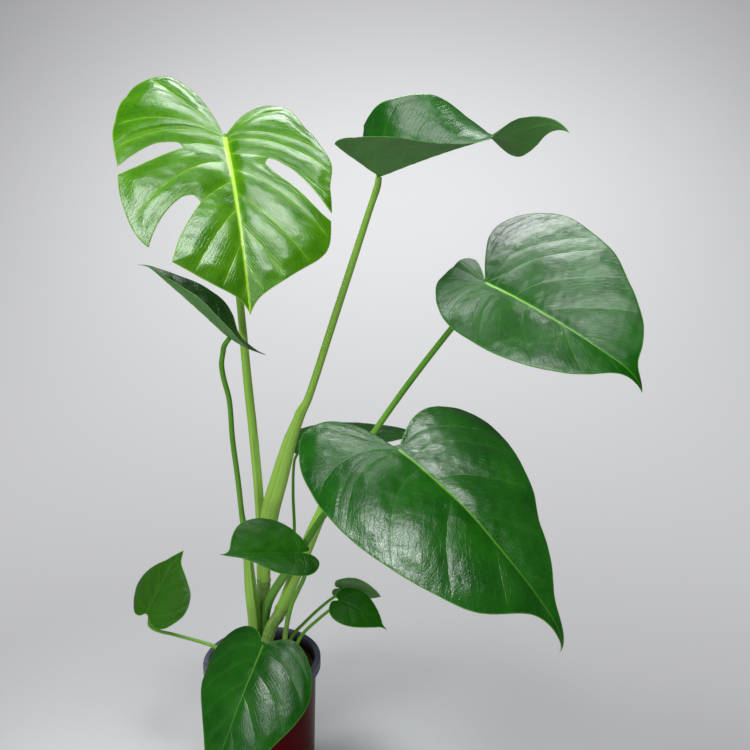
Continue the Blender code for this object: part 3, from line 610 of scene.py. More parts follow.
def leaf_finish(name, tone):
    t = LEAF_TONES[tone]
    f = Finish(name, roughness=t["gloss"], specular=t["sheen"], subsurface=0.0)
    flat = f.attribute("flat", "Vector")
    under = f.attribute("underside")
    edge = f.attribute("edge")
    rib = f.attribute("rib")
    lines = f.attribute("vein")
    gap = f.attribute("vein_gap")
    pale = f.attribute("pale")
    leather = f.attribute("leather")

    def line(value, spacing, narrow, wide):
        """1 on the lines where value is a whole number, over a width in mm."""
        share = f.math("SUBTRACT", f.math("FRACT", f.math("ADD", value, 0.5)), 0.5)
        away = f.math("MULTIPLY", f.math("ABSOLUTE", share), spacing)
        return f.fade(away, narrow, wide, 1.0, 0.0), away

    wobble = f.noise(flat, 9.0, 2.0)
    shifted = f.math("ADD", lines, f.math("MULTIPLY", f.math("SUBTRACT", wobble, 0.5), 0.05))
    vein, away = line(shifted, gap, 0.10, 0.75)
    inner = f.fade(edge, 1.5, 9.0)
    vein = f.math("MULTIPLY", vein, inner)
    # Finer veins run between the main ones, and two nets of cells join them.
    fine_gap = f.math("DIVIDE", gap, 9.0)
    fine, _ = line(f.math("ADD", f.math("MULTIPLY", lines, 9.0),
                          f.math("MULTIPLY", f.math("SUBTRACT", wobble, 0.5), 2.2)),
                   fine_gap, 0.05, 0.50)
    net = f.cells(flat, 46.0, "DISTANCE_TO_EDGE")
    net_line = f.fade(net, 0.0, 0.09, 1.0, 0.0)
    bent = f.node("ShaderNodeVectorMath", operation="ADD")
    f.feed(bent.inputs[0], flat)
    f.feed(bent.inputs[1], f.join(f.math("MULTIPLY", wobble, 0.05), f.math("MULTIPLY", wobble, -0.04), 0.0))
    crease = f.fade(f.cells(bent.outputs[0], 15.0, "DISTANCE_TO_EDGE"), 0.0, 0.26, 1.0, 0.0)

    cloud = f.noise(flat, 2.6, 3.0, 0.55)
    grain = f.noise(flat, 34.0, 3.0, 0.6)
    blend = f.math("ADD", f.math("MULTIPLY", cloud, 0.78), f.math("MULTIPLY", grain, 0.22))
    colour = f.mix(f.fade(blend, 0.30, 0.70), t["deep"], t["fresh"])
    # The blade is a little paler in a band along each main vein.
    halo = f.math("MULTIPLY", f.fade(away, 0.3, 5.0, 1.0, 0.0), inner)
    colour = f.mix(f.math("MULTIPLY", halo, 0.07 if tone == "mature" else 0.12), colour, t["vein"])
    colour = f.mix(f.math("MULTIPLY", fine, 0.06), colour, t["vein"])
    colour = f.mix(f.math("MULTIPLY", net_line, 0.05), colour, t["vein"])
    colour = f.mix(f.math("MULTIPLY", crease, 0.04), colour, t["vein"])
    vein_pale = f.math("ADD", 0.12, f.math("MULTIPLY", pale, 0.78))
    colour = f.mix(f.math("MULTIPLY", f.math("MULTIPLY", vein, vein_pale), t["veins"]), colour, t["vein"])
    # Painted shade: a leaf that lies in shadow is painted towards a darker green.
    dark = tuple(0.62 * c for c in t["deep"])
    colour = f.mix(f.math("MULTIPLY", f.attribute("painted_shade"), 1.0), colour, dark)
    colour = f.mix(f.attribute("lively"), colour, tuple(a + b for a, b in zip(t["fresh"], (0.045, 0.085, 0.002))))
    rib_glow = f.math("MULTIPLY", f.fade(rib, 0.9, 2.8, 1.0, 0.0), f.math("MULTIPLY", pale, 0.25))
    colour = f.mix(rib_glow, colour, t["vein"])
    rib_line = f.fade(rib, 0.62, 1.05, 1.0, 0.0)
    colour = f.mix(f.math("MULTIPLY", rib_line, pale), colour, t["rib"])
    rim = f.fade(edge, 0.30, 1.2, 1.0, 0.0)
    colour = f.mix(f.math("MULTIPLY", rim, 0.55), colour, t["margin"])
    # Underside: paler and matt, its veins and midrib paler still. Its colour is also
    # brightened as painted light, standing in for light that shines through the leaf.
    below = f.mix(f.fade(cloud, 0.3, 0.7), tuple(0.88 * c for c in t["under"]), tuple(1.12 * c for c in t["under"]))
    lit = tuple(min(1.0, 1.5 * c) for c in t["under"])
    below = f.mix(f.math("MULTIPLY", f.math("MAXIMUM", vein, rib_line), 0.7), below, lit)
    below = f.mix(f.math("MULTIPLY", fine, 0.12), below, lit)
    below = f.mix(f.math("MULTIPLY", rim, 0.75), below, tuple(min(1.0, 2.2 * c) for c in t["under"]))
    # Painted shade on the underside too, for a leaf that lies in shadow.
    below = f.mix(f.math("MULTIPLY", f.attribute("painted_shade"), 0.8), below, tuple(0.25 * c for c in t["under"]))
    colour = f.mix(under, colour, below)
    f.feed(f.shader.inputs["Base Color"], colour)

    rough = f.math("ADD", t["gloss"] - 0.05, f.math("MULTIPLY", cloud, 0.10))
    rough = f.math("ADD", rough, f.math("MULTIPLY", under, 0.22))
    rough = f.math("ADD", rough, f.attribute("satin"))
    f.feed(f.shader.inputs["Specular IOR Level"], f.math("MULTIPLY", f.attribute("polish"), t["sheen"]))
    f.feed(f.shader.inputs["Roughness"], rough)

    skin = f.noise(flat, 120.0, 3.0, 0.6)
    height = f.math("MULTIPLY", skin, 0.4)
    height = f.math("SUBTRACT", height, f.math("MULTIPLY", fine, 0.45))
    height = f.math("SUBTRACT", height, f.math("MULTIPLY", f.math("MULTIPLY", net_line, leather), 0.34))
    height = f.math("SUBTRACT", height, f.math("MULTIPLY", f.math("MULTIPLY", crease, leather), 0.40))
    height = f.math("SUBTRACT", height, f.math("MULTIPLY", vein, 1.1))
    streak = f.noise(f.join(f.math("MULTIPLY", lines, 2.6), f.math("MULTIPLY", edge, 0.035), 0.0), 1.6, 3.0, 0.6)
    height = f.math("ADD", height, f.math("MULTIPLY", streak, f.math("ADD", 0.7, f.math("MULTIPLY", leather, 1.5))))
    f.feed(f.shader.inputs["Normal"], f.bump(height, 0.42, 0.00030))
    return f.mat


# The dark tone is painted shade: darker stalk colours for a stalk that lies in shadow under a blade.
STALK_TONES = {
    "light": dict(low=(0.34, 0.58, 0.090), high=(0.27, 0.53, 0.070), sheath=(0.31, 0.55, 0.10)),
    "mid": dict(low=(0.25, 0.50, 0.060), high=(0.090, 0.28, 0.018), sheath=(0.31, 0.56, 0.10)),
    "dark": dict(low=(0.085, 0.245, 0.026), high=(0.060, 0.205, 0.020), sheath=(0.15, 0.35, 0.05)),
}


def stalk_finish(name, tone):
    t = STALK_TONES[tone]
    f = Finish(name, roughness=0.42, specular=0.4)
    course = f.attribute("course", "Vector")
    sheath = f.attribute("sheath")
    share = f.attribute("share")
    knuckle = f.attribute("knuckle")
    streaks = f.noise(f.stretch(course, (0.45, 5.0, 5.0)), 6.0, 3.0, 0.55)
    fibres = f.noise(f.stretch(course, (0.35, 9.0, 9.0)), 8.0, 2.0, 0.5)
    cloud = f.noise(course, 0.45, 2.0)
    flecks = f.cells(f.stretch(course, (1.0, 3.2, 3.2)), 26.0)
    fleck = f.fade(flecks, 0.10, 0.20, 1.0, 0.0)
    height_mix = f.math("ADD", share, f.math("MULTIPLY", f.math("SUBTRACT", cloud, 0.5), 0.25))
    colour = f.mix(f.fade(height_mix, 0.05, 0.75), t["low"], t["high"])
    colour = f.mix(f.math("MULTIPLY", sheath, 0.75), colour, t["sheath"])
    dark = tuple(0.55 * c for c in t["high"])
    colour = f.mix(f.math("MULTIPLY", f.fade(streaks, 0.42, 0.80), 0.12), colour, dark)
    colour = f.mix(f.math("MULTIPLY", f.fade(fibres, 0.50, 0.76), 0.10), colour, tuple(1.2 * c for c in t["sheath"]))
    colour = f.mix(f.math("MULTIPLY", fleck, 0.03), colour, t["sheath"])
    colour = f.mix(f.math("MULTIPLY", knuckle, 0.55), colour, tuple(0.8 * c for c in t["high"]))
    f.feed(f.shader.inputs["Base Color"], colour)
    f.feed(f.shader.inputs["Roughness"], f.math("ADD", 0.36, f.math("MULTIPLY", fibres, 0.12)))
    wrinkle = f.noise(f.stretch(course, (5.0, 1.5, 1.5)), 6.0, 2.0)
    height = f.math("ADD", f.math("MULTIPLY", fibres, 0.8), f.math("MULTIPLY", streaks, 0.5))
    height = f.math("ADD", height, f.math("MULTIPLY", f.math("MULTIPLY", wrinkle, knuckle), 0.6))
    f.feed(f.shader.inputs["Normal"], f.bump(height, 0.08, 0.0003))
    return f.mat


def stem_finish():
    f = Finish("stem_finish", roughness=0.5, subsurface=0.06)
    course = f.attribute("course", "Vector")
    ring = f.attribute("sheath")
    streaks = f.noise(f.stretch(course, (0.7, 5.0, 5.0)), 7.0, 4.0, 0.6)
    patches = f.noise(course, 7.0, 4.0, 0.65)
    colour = f.mix(f.fade(streaks, 0.35, 0.7), (0.30, 0.50, 0.11), (0.15, 0.33, 0.050))
    colour = f.mix(f.math("MULTIPLY", f.fade(patches, 0.55, 0.75), 0.28), colour, (0.16, 0.20, 0.06))
    colour = f.mix(f.math("MULTIPLY", ring, 0.45), colour, (0.20, 0.25, 0.08))
    f.feed(f.shader.inputs["Base Color"], colour)
    f.feed(f.shader.inputs["Roughness"], f.math("ADD", 0.36, f.math("MULTIPLY", patches, 0.3)))
    height = f.math("ADD", streaks, f.math("MULTIPLY", patches, 0.8))
    f.feed(f.shader.inputs["Normal"], f.bump(height, 0.4, 0.0005))
    return f.mat


def soil_finish():
    f = Finish("soil_finish", roughness=0.92, specular=0.25)
    place = f.node("ShaderNodeTexCoord").outputs["Object"]
    clods = f.noise(place, 130.0, 5.0, 0.65)
    grit = f.noise(place, 700.0, 3.0, 0.6)
    tint = f.attribute("tint")
    colour = f.mix(f.fade(clods, 0.35, 0.68), (0.014, 0.0085, 0.0055), (0.062, 0.036, 0.020))
    colour = f.mix(f.math("MULTIPLY", f.fade(grit, 0.62, 0.74), 0.6), colour, (0.16, 0.10, 0.055))
    colour = f.mix(f.math("MULTIPLY", tint, 0.6), colour, (0.11, 0.062, 0.032))
    f.feed(f.shader.inputs["Base Color"], colour)
    f.feed(f.shader.inputs["Roughness"], f.math("ADD", 0.78, f.math("MULTIPLY", grit, 0.2)))
    height = f.math("ADD", clods, f.math("MULTIPLY", grit, 0.5))
    f.feed(f.shader.inputs["Normal"], f.bump(height, 0.7, 0.0012))
    return f.mat


def pot_finish():
    """Moulded plastic: burgundy outside, a painted slate-grey highlight on the rim, and near black inside."""
    f = Finish("pot_finish", roughness=0.34, specular=0.06)
    place = f.node("ShaderNodeTexCoord").outputs["Object"]
    x, y, z = f.split(place)
    out = f.math("SQRT", f.math("ADD", f.math("MULTIPLY", x, x), f.math("MULTIPLY", y, y)))
    swirl = f.noise(f.stretch(place, (1.0, 1.0, 0.25)), 40.0, 3.0, 0.6)
    dust = f.noise(place, 220.0, 4.0, 0.65)
    colour = f.mix(f.fade(swirl, 0.3, 0.7), (0.056, 0.0006, 0.0014), (0.074, 0.0010, 0.0024))
    # Soil dust gathers towards the foot.
    low = f.fade(z, 0.0, 0.035, 1.0, 0.0)
    colour = f.mix(f.math("MULTIPLY", f.math("MULTIPLY", f.fade(dust, 0.45, 0.7), low), 0.35),
                   colour, (0.085, 0.050, 0.035))
    # Painted highlight: the lip of the rim is coloured slate grey-blue where it catches the light.
    slate_highlight = f.mix(f.fade(swirl, 0.3, 0.7), (0.090, 0.100, 0.140), (0.125, 0.136, 0.185))
    rim = f.attribute("rim")
    colour = f.mix(rim, colour, slate_highlight)
    black = f.mix(f.fade(dust, 0.5, 0.75), (0.006, 0.006, 0.008), (0.020, 0.015, 0.012))
    colour = f.mix(f.attribute("inside"), colour, black)
    f.feed(f.shader.inputs["Base Color"], colour)
    rough = f.math("ADD", 0.24, f.math("MULTIPLY", dust, 0.12))
    rough = f.math("ADD", rough, f.math("MULTIPLY", low, 0.12))
    f.feed(f.shader.inputs["Roughness"], rough)
    scuffs = f.noise(f.stretch(place, (1.0, 1.0, 9.0)), 60.0, 3.0, 0.7)
    height = f.math("ADD", f.math("MULTIPLY", dust, 0.4), f.math("MULTIPLY", scuffs, 0.6))
    f.feed(f.shader.inputs["Normal"], f.bump(height, 0.10, 0.0003))
    return f.mat


# ------------------------------------------------------------ making pieces
def attach(obj, slot, *nodes):
    bpy.context.collection.objects.link(obj)
    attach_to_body(obj, "root")
    if nodes:
        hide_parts(*nodes)
    return obj


def new_mesh(name, vertices, faces, mat):
    mesh = bpy.data.meshes.new(name)
    mesh.from_pydata(vertices, [], faces)
    mesh.materials.append(mat)
    mesh.shade_smooth()
    return mesh


def set_floats(mesh, name, values, domain="POINT"):
    layer = mesh.attributes.new(name, "FLOAT", domain)
    layer.data.foreach_set("value", np.ascontiguousarray(values, np.float32).ravel())


def set_vectors(mesh, name, values, domain="POINT"):
    layer = mesh.attributes.new(name, "FLOAT_VECTOR", domain)
    layer.data.foreach_set("vector", np.ascontiguousarray(values, np.float32).ravel())


def eased(x):
    x = np.clip(x, 0.0, 1.0)
    return x * x * (3 - 2 * x)


def ripples(seed, u, v, length, height, count=9):
    """Low smooth noise over the blade, as a sum of plane waves."""
    rng = np.random.default_rng(seed)
    total = np.zeros(np.shape(u))
    for _ in range(count):
        angle = rng.uniform(0, 2 * math.pi)
        k = 2 * math.pi / rng.uniform(*length)
        total += np.sin(k * (u * math.cos(angle) + v * math.sin(angle)) + rng.uniform(0, 2 * math.pi))
    return height * total / math.sqrt(count)


# ------------------------------------------------------------- leaf blades
def vein_count(leaf, look, u, w, side):
    """Counts the side veins: whole numbers lie on the veins of each half."""
    lean, spread, curve = look["sweep"]
    length = leaf["length"]
    w = np.maximum(w, 1e-3)
    forward = u - curve * w * w / length
    foot = (forward - lean * w) / (1 + spread * w / length)
    front = look["veins"] * np.clip(foot / length, 0, None) ** 0.62
    first = math.atan2(1, lean)
    fan = -(np.arctan2(w, forward) - first) / math.radians(27)
    return np.where(foot >= 0, front, np.minimum(fan, 0)) + np.where(side > 0, 0.0, 0.45)


def vein_spacing(leaf, look, u, w, side):
    """Distance in millimetres between neighbouring veins."""
    e = 0.4
    du = vein_count(leaf, look, u + e, w, side) - vein_count(leaf, look, u - e, w, side)
    dw = vein_count(leaf, look, u, w + e, side) - vein_count(leaf, look, u, np.maximum(w - e, 0.0), side)
    return np.clip(2 * e / np.maximum(np.hypot(du, dw), 1e-6), 1.0, 60.0)


def eased_outline(outline, leaf):
    """Rounds the blind ends of the slits."""
    fixed = outline.copy()
    soft = np.zeros(len(outline))
    for first, second in leaf.get("slits", ()):
        mark = (np.array(first[0]) + np.array(second[0])) / 2
        soft = np.maximum(soft, np.linalg.norm(outline - mark, axis=1) < 9)
    for _ in range(10):
        mean = (np.roll(fixed, 1, axis=0) + np.roll(fixed, -1, axis=0)) / 2
        fixed += 0.5 * soft[:, None] * (mean - fixed)
    return fixed


def near_distance(points, outline):
    out = np.empty(len(points))
    for i in range(0, len(points), 4000):
        part = points[i:i + 4000]
        away = ((part[:, None] - outline[None]) ** 2).sum(axis=2)
        out[i:i + 4000] = np.sqrt(away.min(axis=1))
    return out


def grow_blade(name, leaf, look, mat):
    grid, length = look["grid"], leaf["length"]
    outline = blade_outline(leaf, grid * 0.8)
    keep = [0]
    for i in range(1, len(outline)):
        if np.linalg.norm(outline[i] - outline[keep[-1]]) > 0.3 * grid:
            keep.append(i)
    outline = outline[keep]
    if np.linalg.norm(outline[0] - outline[-1]) < 0.3 * grid:
        outline = outline[:-1]
    outline = eased_outline(outline, leaf)
    low, high = outline.min(axis=0) - grid, outline.max(axis=0) + grid
    rows = np.arange(int(low[1] / (grid * 0.866)) - 1, int(high[1] / (grid * 0.866)) + 2)
    cols = np.arange(int(low[0] / grid) - 1, int(high[0] / grid) + 2)
    j, i = np.meshgrid(rows, cols, indexing="ij")
    inner = np.column_stack([((i + 0.5 * (j % 2)) * grid).ravel(), (j * grid * 0.866).ravel()])
    inside = np.concatenate([inside_outline(inner[k:k + 4000], outline)
                             for k in range(0, len(inner), 4000)])
    inner = inner[inside]
    near = near_distance(inner, outline)
    inner = inner[(near > grid * 0.5) & ((np.abs(inner[:, 1]) > grid * 0.45) | (inner[:, 0] < 0))]
    rib = np.arange(0.0, length * 0.99, grid)
    points = np.vstack([outline, np.column_stack([rib, rib * 0]), inner])
    n = len(outline)
    edges = [(i, (i + 1) % n) for i in range(n)] + [(n + i, n + i + 1) for i in range(len(rib) - 1)]
    flat, _, faces, *_ = geometry.delaunay_2d_cdt([Vector(p) for p in points], edges, [], 1, 1e-5)
    flat = np.array([tuple(p) for p in flat])
    faces = np.array([tuple(f) for f in faces], int)
    used, faces = np.unique(faces, return_inverse=True)
    flat, faces = flat[used], faces.reshape(-1, 3)
    u, v = flat[:, 0], flat[:, 1]
    w, side = np.abs(v), np.where(v >= 0, 1.0, -1.0)

    place = blade_surface(leaf, u, v) / MM
    e = 0.6
    ahead = blade_surface(leaf, u + e, v) - blade_surface(leaf, u - e, v)
    over = blade_surface(leaf, u, v + e) - blade_surface(leaf, u, v - e)
    normal = np.cross(ahead, over)
    normal /= np.linalg.norm(normal, axis=1)[:, None]

    edge = near_distance(flat, outline)
    count = vein_count(leaf, look, u, w, side)
    gap = vein_spacing(leaf, look, u, w, side)
    away = np.abs((count + 0.5) % 1.0 - 0.5) * gap
    inner_share = eased((edge - 1.0) / (0.07 * length))
    rib_half = look["rib"] * (1 - 0.72 * np.clip(u / length, 0, 1)) * eased((u + 3) / 3)
    quilt = np.minimum(look["quilt"] * gap, 0.013 * length)
    rise = quilt * np.abs(np.sin(math.pi * count)) ** 0.85 * eased(w / (0.06 * length)) * inner_share
    rise -= 0.30 * look["rib"] * np.exp(-((w / (2.2 * look["rib"])) ** 2)) * eased(u / 12) * eased((length - u) / 30)
    rise += ripples(look["seed"], u, v, (45, 95), 0.0045 * length * 0.5)
    rise += ripples(look["seed"] + 50, u, v, (9, 24), 0.11)
    rise += ripples(look["seed"] + 80, u, v, (4, 8), 0.022, 14) * inner_share
    tall, turns, phase = look["wave"]
    around = np.arctan2(v, u)
    rise += tall * np.exp(-edge / (0.07 * length)) * np.sin(turns * around + phase) * eased(w / 12) * (
        0.6 + 0.4 * np.sin(3.1 * around + phase * 2))
    thick = 0.30 + 0.32 * eased(edge / 2.5)
    rib_bulge = 0.55 * look["rib"] * np.exp(-((w / (0.8 * look["rib"])) ** 2)) * eased((u + 2) / 4) * eased((length - u) / 40)
    vein_bulge = 0.22 * np.exp(-((away / 0.9) ** 2)) * inner_share
    top = place + normal * (rise + thick / 2)[:, None]
    bottom = place + normal * (rise - thick / 2 - rib_bulge - vein_bulge)[:, None]

    m = len(flat)
    border = np.concatenate([faces[:, [0, 1]], faces[:, [1, 2]], faces[:, [2, 0]]])
    keys = border[:, 0] * m + border[:, 1]
    back = border[:, 1] * m + border[:, 0]
    border = border[~np.isin(keys, back)]
    quads = np.column_stack([border[:, 1], border[:, 0], border[:, 0] + m, border[:, 1] + m])
    vertices = np.vstack([top, bottom]) * MM
    all_faces = [tuple(f) for f in faces] + [tuple(f) for f in faces[:, ::-1] + m] + [tuple(q) for q in quads]
    mesh = new_mesh(name, vertices, all_faces, mat)
    corners = np.concatenate([faces.ravel(), faces[:, ::-1].ravel(), (quads % m).ravel()])
    face_side = np.where(v[faces].mean(axis=1) >= 0, 1.0, -1.0)
    quad_side = np.where(v[border].mean(axis=1) >= 0, 1.0, -1.0)
    corner_side = np.concatenate([np.repeat(face_side, 3), np.repeat(face_side, 3), np.repeat(quad_side, 4)])
    set_floats(mesh, "vein", vein_count(leaf, look, u[corners], w[corners], corner_side), "CORNER")
    set_floats(mesh, "vein_gap", vein_spacing(leaf, look, u[corners], w[corners], corner_side), "CORNER")
    two = lambda a: np.concatenate([a, a])
    set_vectors(mesh, "flat", np.column_stack([two(u) / 100, two(v) / 100, np.repeat([0.0, 0.02], m)]))
    set_floats(mesh, "underside", np.repeat([0.0, 1.0], m))
    set_floats(mesh, "edge", two(edge))
    rib_away = np.where(u < 0, 99.0, w / np.maximum(rib_half * (1.15 if look["tone"] == "young" else 0.85), 0.28))
    set_floats(mesh, "rib", two(np.minimum(rib_away, 20.0)))
    set_floats(mesh, "pale", two(look["pale"] * (1 - (0.3 if look["tone"] == "young" else 0.7) * eased(u / length / 0.9))))
    set_floats(mesh, "painted_shade", np.full(2 * m, look["painted_shade"]))
    set_floats(mesh, "lively", np.full(2 * m, look["lively"]))
    polish = np.ones(m)
    for along, across, size, amount in look["dull"]:
        polish *= 1 - amount * np.exp(-(np.hypot(u / length - along, v / length - across) / size) ** 2)
    set_floats(mesh, "polish", two(polish))
    set_floats(mesh, "satin", np.full(2 * m, look["satin"]))
    set_floats(mesh, "leather", np.full(2 * m, look["leather"]))
    obj = bpy.data.objects.new(name.replace("leaf_blade", "blade"), mesh)
    attach(obj, "young_leaf" if look["tone"] == "young" else "mature_leaf", name)
    return obj


# -------------------------------------------------------- stalks and stems
def swept(name, rows, mat, profile, face, spacing=2.0, sides=36, start=4.0, marks=None):
    """Tube through rows of x, y, z, radius (mm) whose ring is shaped by
    profile(s, share, angle); the angle is 0 on the side that faces `face`."""
    rows = np.asarray(rows, float)
    total = row_lengths(rows)[-1]
    at = np.linspace(0, total, int(total / spacing) + 2)
    path = through(rows, at)
    course = through(rows, at + 0.2)[:, :3] - through(rows, at - 0.2)[:, :3]
    course /= np.linalg.norm(course, axis=1)[:, None]
    if start:
        below = [np.concatenate([path[0, :3] - course[0] * d, path[0, 3:]]) for d in (start, start / 2)]
        path = np.vstack([below, path])
        course = np.vstack([course[:1], course[:1], course])
        at = np.concatenate([[-start, -start / 2], at])
    angles = np.arange(sides) * 2 * math.pi / sides
    wrapped = (angles + math.pi) % (2 * math.pi) - math.pi
    vertices, side, data = [], np.asarray(face, float), []
    for i, centre in enumerate(path[:, :3]):
        side = side - course[i] * (side @ course[i])
        side = side / np.linalg.norm(side)
        other = np.cross(course[i], side)
        r = profile(at[i], at[i] / total, wrapped, path[i, 3])
        vertices.append(centre + r[:, None] * (np.cos(angles)[:, None] * side + np.sin(angles)[:, None] * other))
        data.append(np.column_stack([np.full(sides, at[i]), path[i, 3] * np.cos(angles),
                                     path[i, 3] * np.sin(angles), wrapped]))
    n, rings = sides, len(path)
    vertices, data = np.vstack(vertices), np.vstack(data)
    faces = [(i * n + k, i * n + (k + 1) % n, (i + 1) * n + (k + 1) % n, (i + 1) * n + k)
             for i in range(rings - 1) for k in range(n)]
    caps = np.array([path[0, :3], path[-1, :3] + course[-1] * 0.15])
    c0, c1 = len(vertices), len(vertices) + 1
    faces += [(c0, (k + 1) % n, k) for k in range(n)]
    faces += [(c1, (rings - 1) * n + k, (rings - 1) * n + (k + 1) % n) for k in range(n)]
    vertices = np.vstack([vertices, caps])
    data = np.vstack([data, [at[0], 0, 0, 0], [total, 0, 0, 0]])
    mesh = new_mesh(name, vertices * MM, faces, mat)
    set_vectors(mesh, "course", data[:, :3] / 100)
    set_floats(mesh, "share", data[:, 0] / total)
    sheath, knuckle = marks(data[:, 0], data[:, 3], total)
    set_floats(mesh, "sheath", sheath)
    set_floats(mesh, "knuckle", knuckle)
    return mesh


def grow_stalk(name, blade_name, rows, look, mat):
    leaf = BLADES[blade_name]
    joint = np.asarray(leaf["joint"], float)
    bend = 10.0 if leaf["length"] > 100 else 5.0
    radius = rows[-1][3]
    into, slope = stalk_end(leaf, rows)
    reach = 0.35 + 0.3 * radius * math.sin(slope)
    rows = list(rows) + [(*(joint - into * bend), radius), (*(joint - into * reach), radius * 0.95)]
    depth, reach = look["sheath"]
    total = row_lengths(rows)[-1]
    stop = reach * total
    knee = 2.6 * radius + 4

    def profile(s, share, angle, r):
        inside = eased((stop + 4 - s) / 12.0)
        channel = np.exp(-((angle / 0.50) ** 4))
        shallow = np.exp(-((angle / 0.42) ** 2)) * 0.07
        lip = math.exp(-(((s - stop + 3) / 7.0) ** 2)) * depth
        wings = np.exp(-(((np.abs(angle) - 0.72) / 0.20) ** 2))
        ripple = 0.010 * np.sin(3 * angle + 1.3) + 0.005 * np.sin(5 * angle)
        swell = 0.06 * math.exp(-(((total - s - knee) / (1.1 * radius + 3)) ** 2))
        return r * (1 + swell + ripple - shallow * (1 - inside) - depth * channel * inside
                    + (0.10 * inside + 0.55 * lip) * wings)

    def marks(s, angle, total):
        inside = eased((stop - s) / 16.0)
        wings = np.exp(-(((np.abs(angle) - 0.72) / 0.30) ** 2))
        knuckle = np.exp(-(((total - s - knee) / (1.5 * radius + 4)) ** 2))
        return inside * (0.45 + 0.55 * wings), knuckle

    mesh = swept(name, rows, mat, profile, look["face"], spacing=2.0 if total > 120 else 1.2,
                 sides=40, marks=marks)
    obj = bpy.data.objects.new(name.replace("leaf_stalk", "stalk"), mesh)
    return attach(obj, "leaf_stalk", name)


STEM_RINGS = {"stem_back": (30.0, 62.0, 98.0), "stem_front": (24.0, 52.0, 76.0)}


def grow_stem(name, rows, mat):
    rings = STEM_RINGS[name]

    def profile(s, share, angle, r):
        ridge = sum(math.exp(-(((s - z) / 1.6) ** 2)) for z in rings)
        dip = sum(math.exp(-(((s - z - 3.4) / 1.8) ** 2)) for z in rings)
        return r * (1 + 0.07 * ridge - 0.045 * dip + 0.012 * np.sin(5 * angle + s * 0.02) + 0.008 * np.sin(11 * angle))

    def marks(s, angle, total):
        ring = sum(np.exp(-(((s - z - 0.6 * np.sin(angle)) / 1.3) ** 2)) for z in rings)
        return np.clip(ring, 0, 1), s * 0

    rows = list(rows)
    mesh = swept(name, rows, mat, profile, (0.2, -0.9, 0.1), spacing=1.0, sides=48, marks=marks)
    obj = bpy.data.objects.new(name + "_grown", mesh)
    return attach(obj, "stem", name)


# ------------------------------------------------------------ pot and soil
def lathe(name, profile, sides, mat):
    """Closed turned body, with the profile's share of its length per ring."""
    vertices, faces, rings = [], [], []
    for r, z in profile:
        if r < 1e-7:
            rings.append([len(vertices)])
            vertices.append((0.0, 0.0, z))
        else:
            rings.append(list(range(len(vertices), len(vertices) + sides)))
            vertices += [(r * math.cos(2 * math.pi * k / sides), r * math.sin(2 * math.pi * k / sides), z)
                         for k in range(sides)]
    for a, b in zip(rings, rings[1:]):
        for k in range(sides):
            j = (k + 1) % sides
            if len(a) == 1:
                faces.append((a[0], b[j], b[k]))
            elif len(b) == 1:
                faces.append((a[k], a[j], b[0]))
            else:
                faces.append((a[k], a[j], b[j], b[k]))
    return new_mesh(name, vertices, faces, mat)


def rounded(points, radius, steps=5):
    """The profile with its inner corners rounded."""
    out = [points[0]]
    for a, b, c in zip(points, points[1:], points[2:]):
        a, b, c = (np.array(p, float) for p in (a, b, c))
        before, after = a - b, c - b
        r = min(radius, 0.45 * np.linalg.norm(before), 0.45 * np.linalg.norm(after))
        p, q = b + before / np.linalg.norm(before) * r, b + after / np.linalg.norm(after) * r
        for t in np.linspace(0, 1, steps):
            out.append(tuple((1 - t) ** 2 * p + 2 * t * (1 - t) * b + t * t * q))
    return out + [points[-1]]


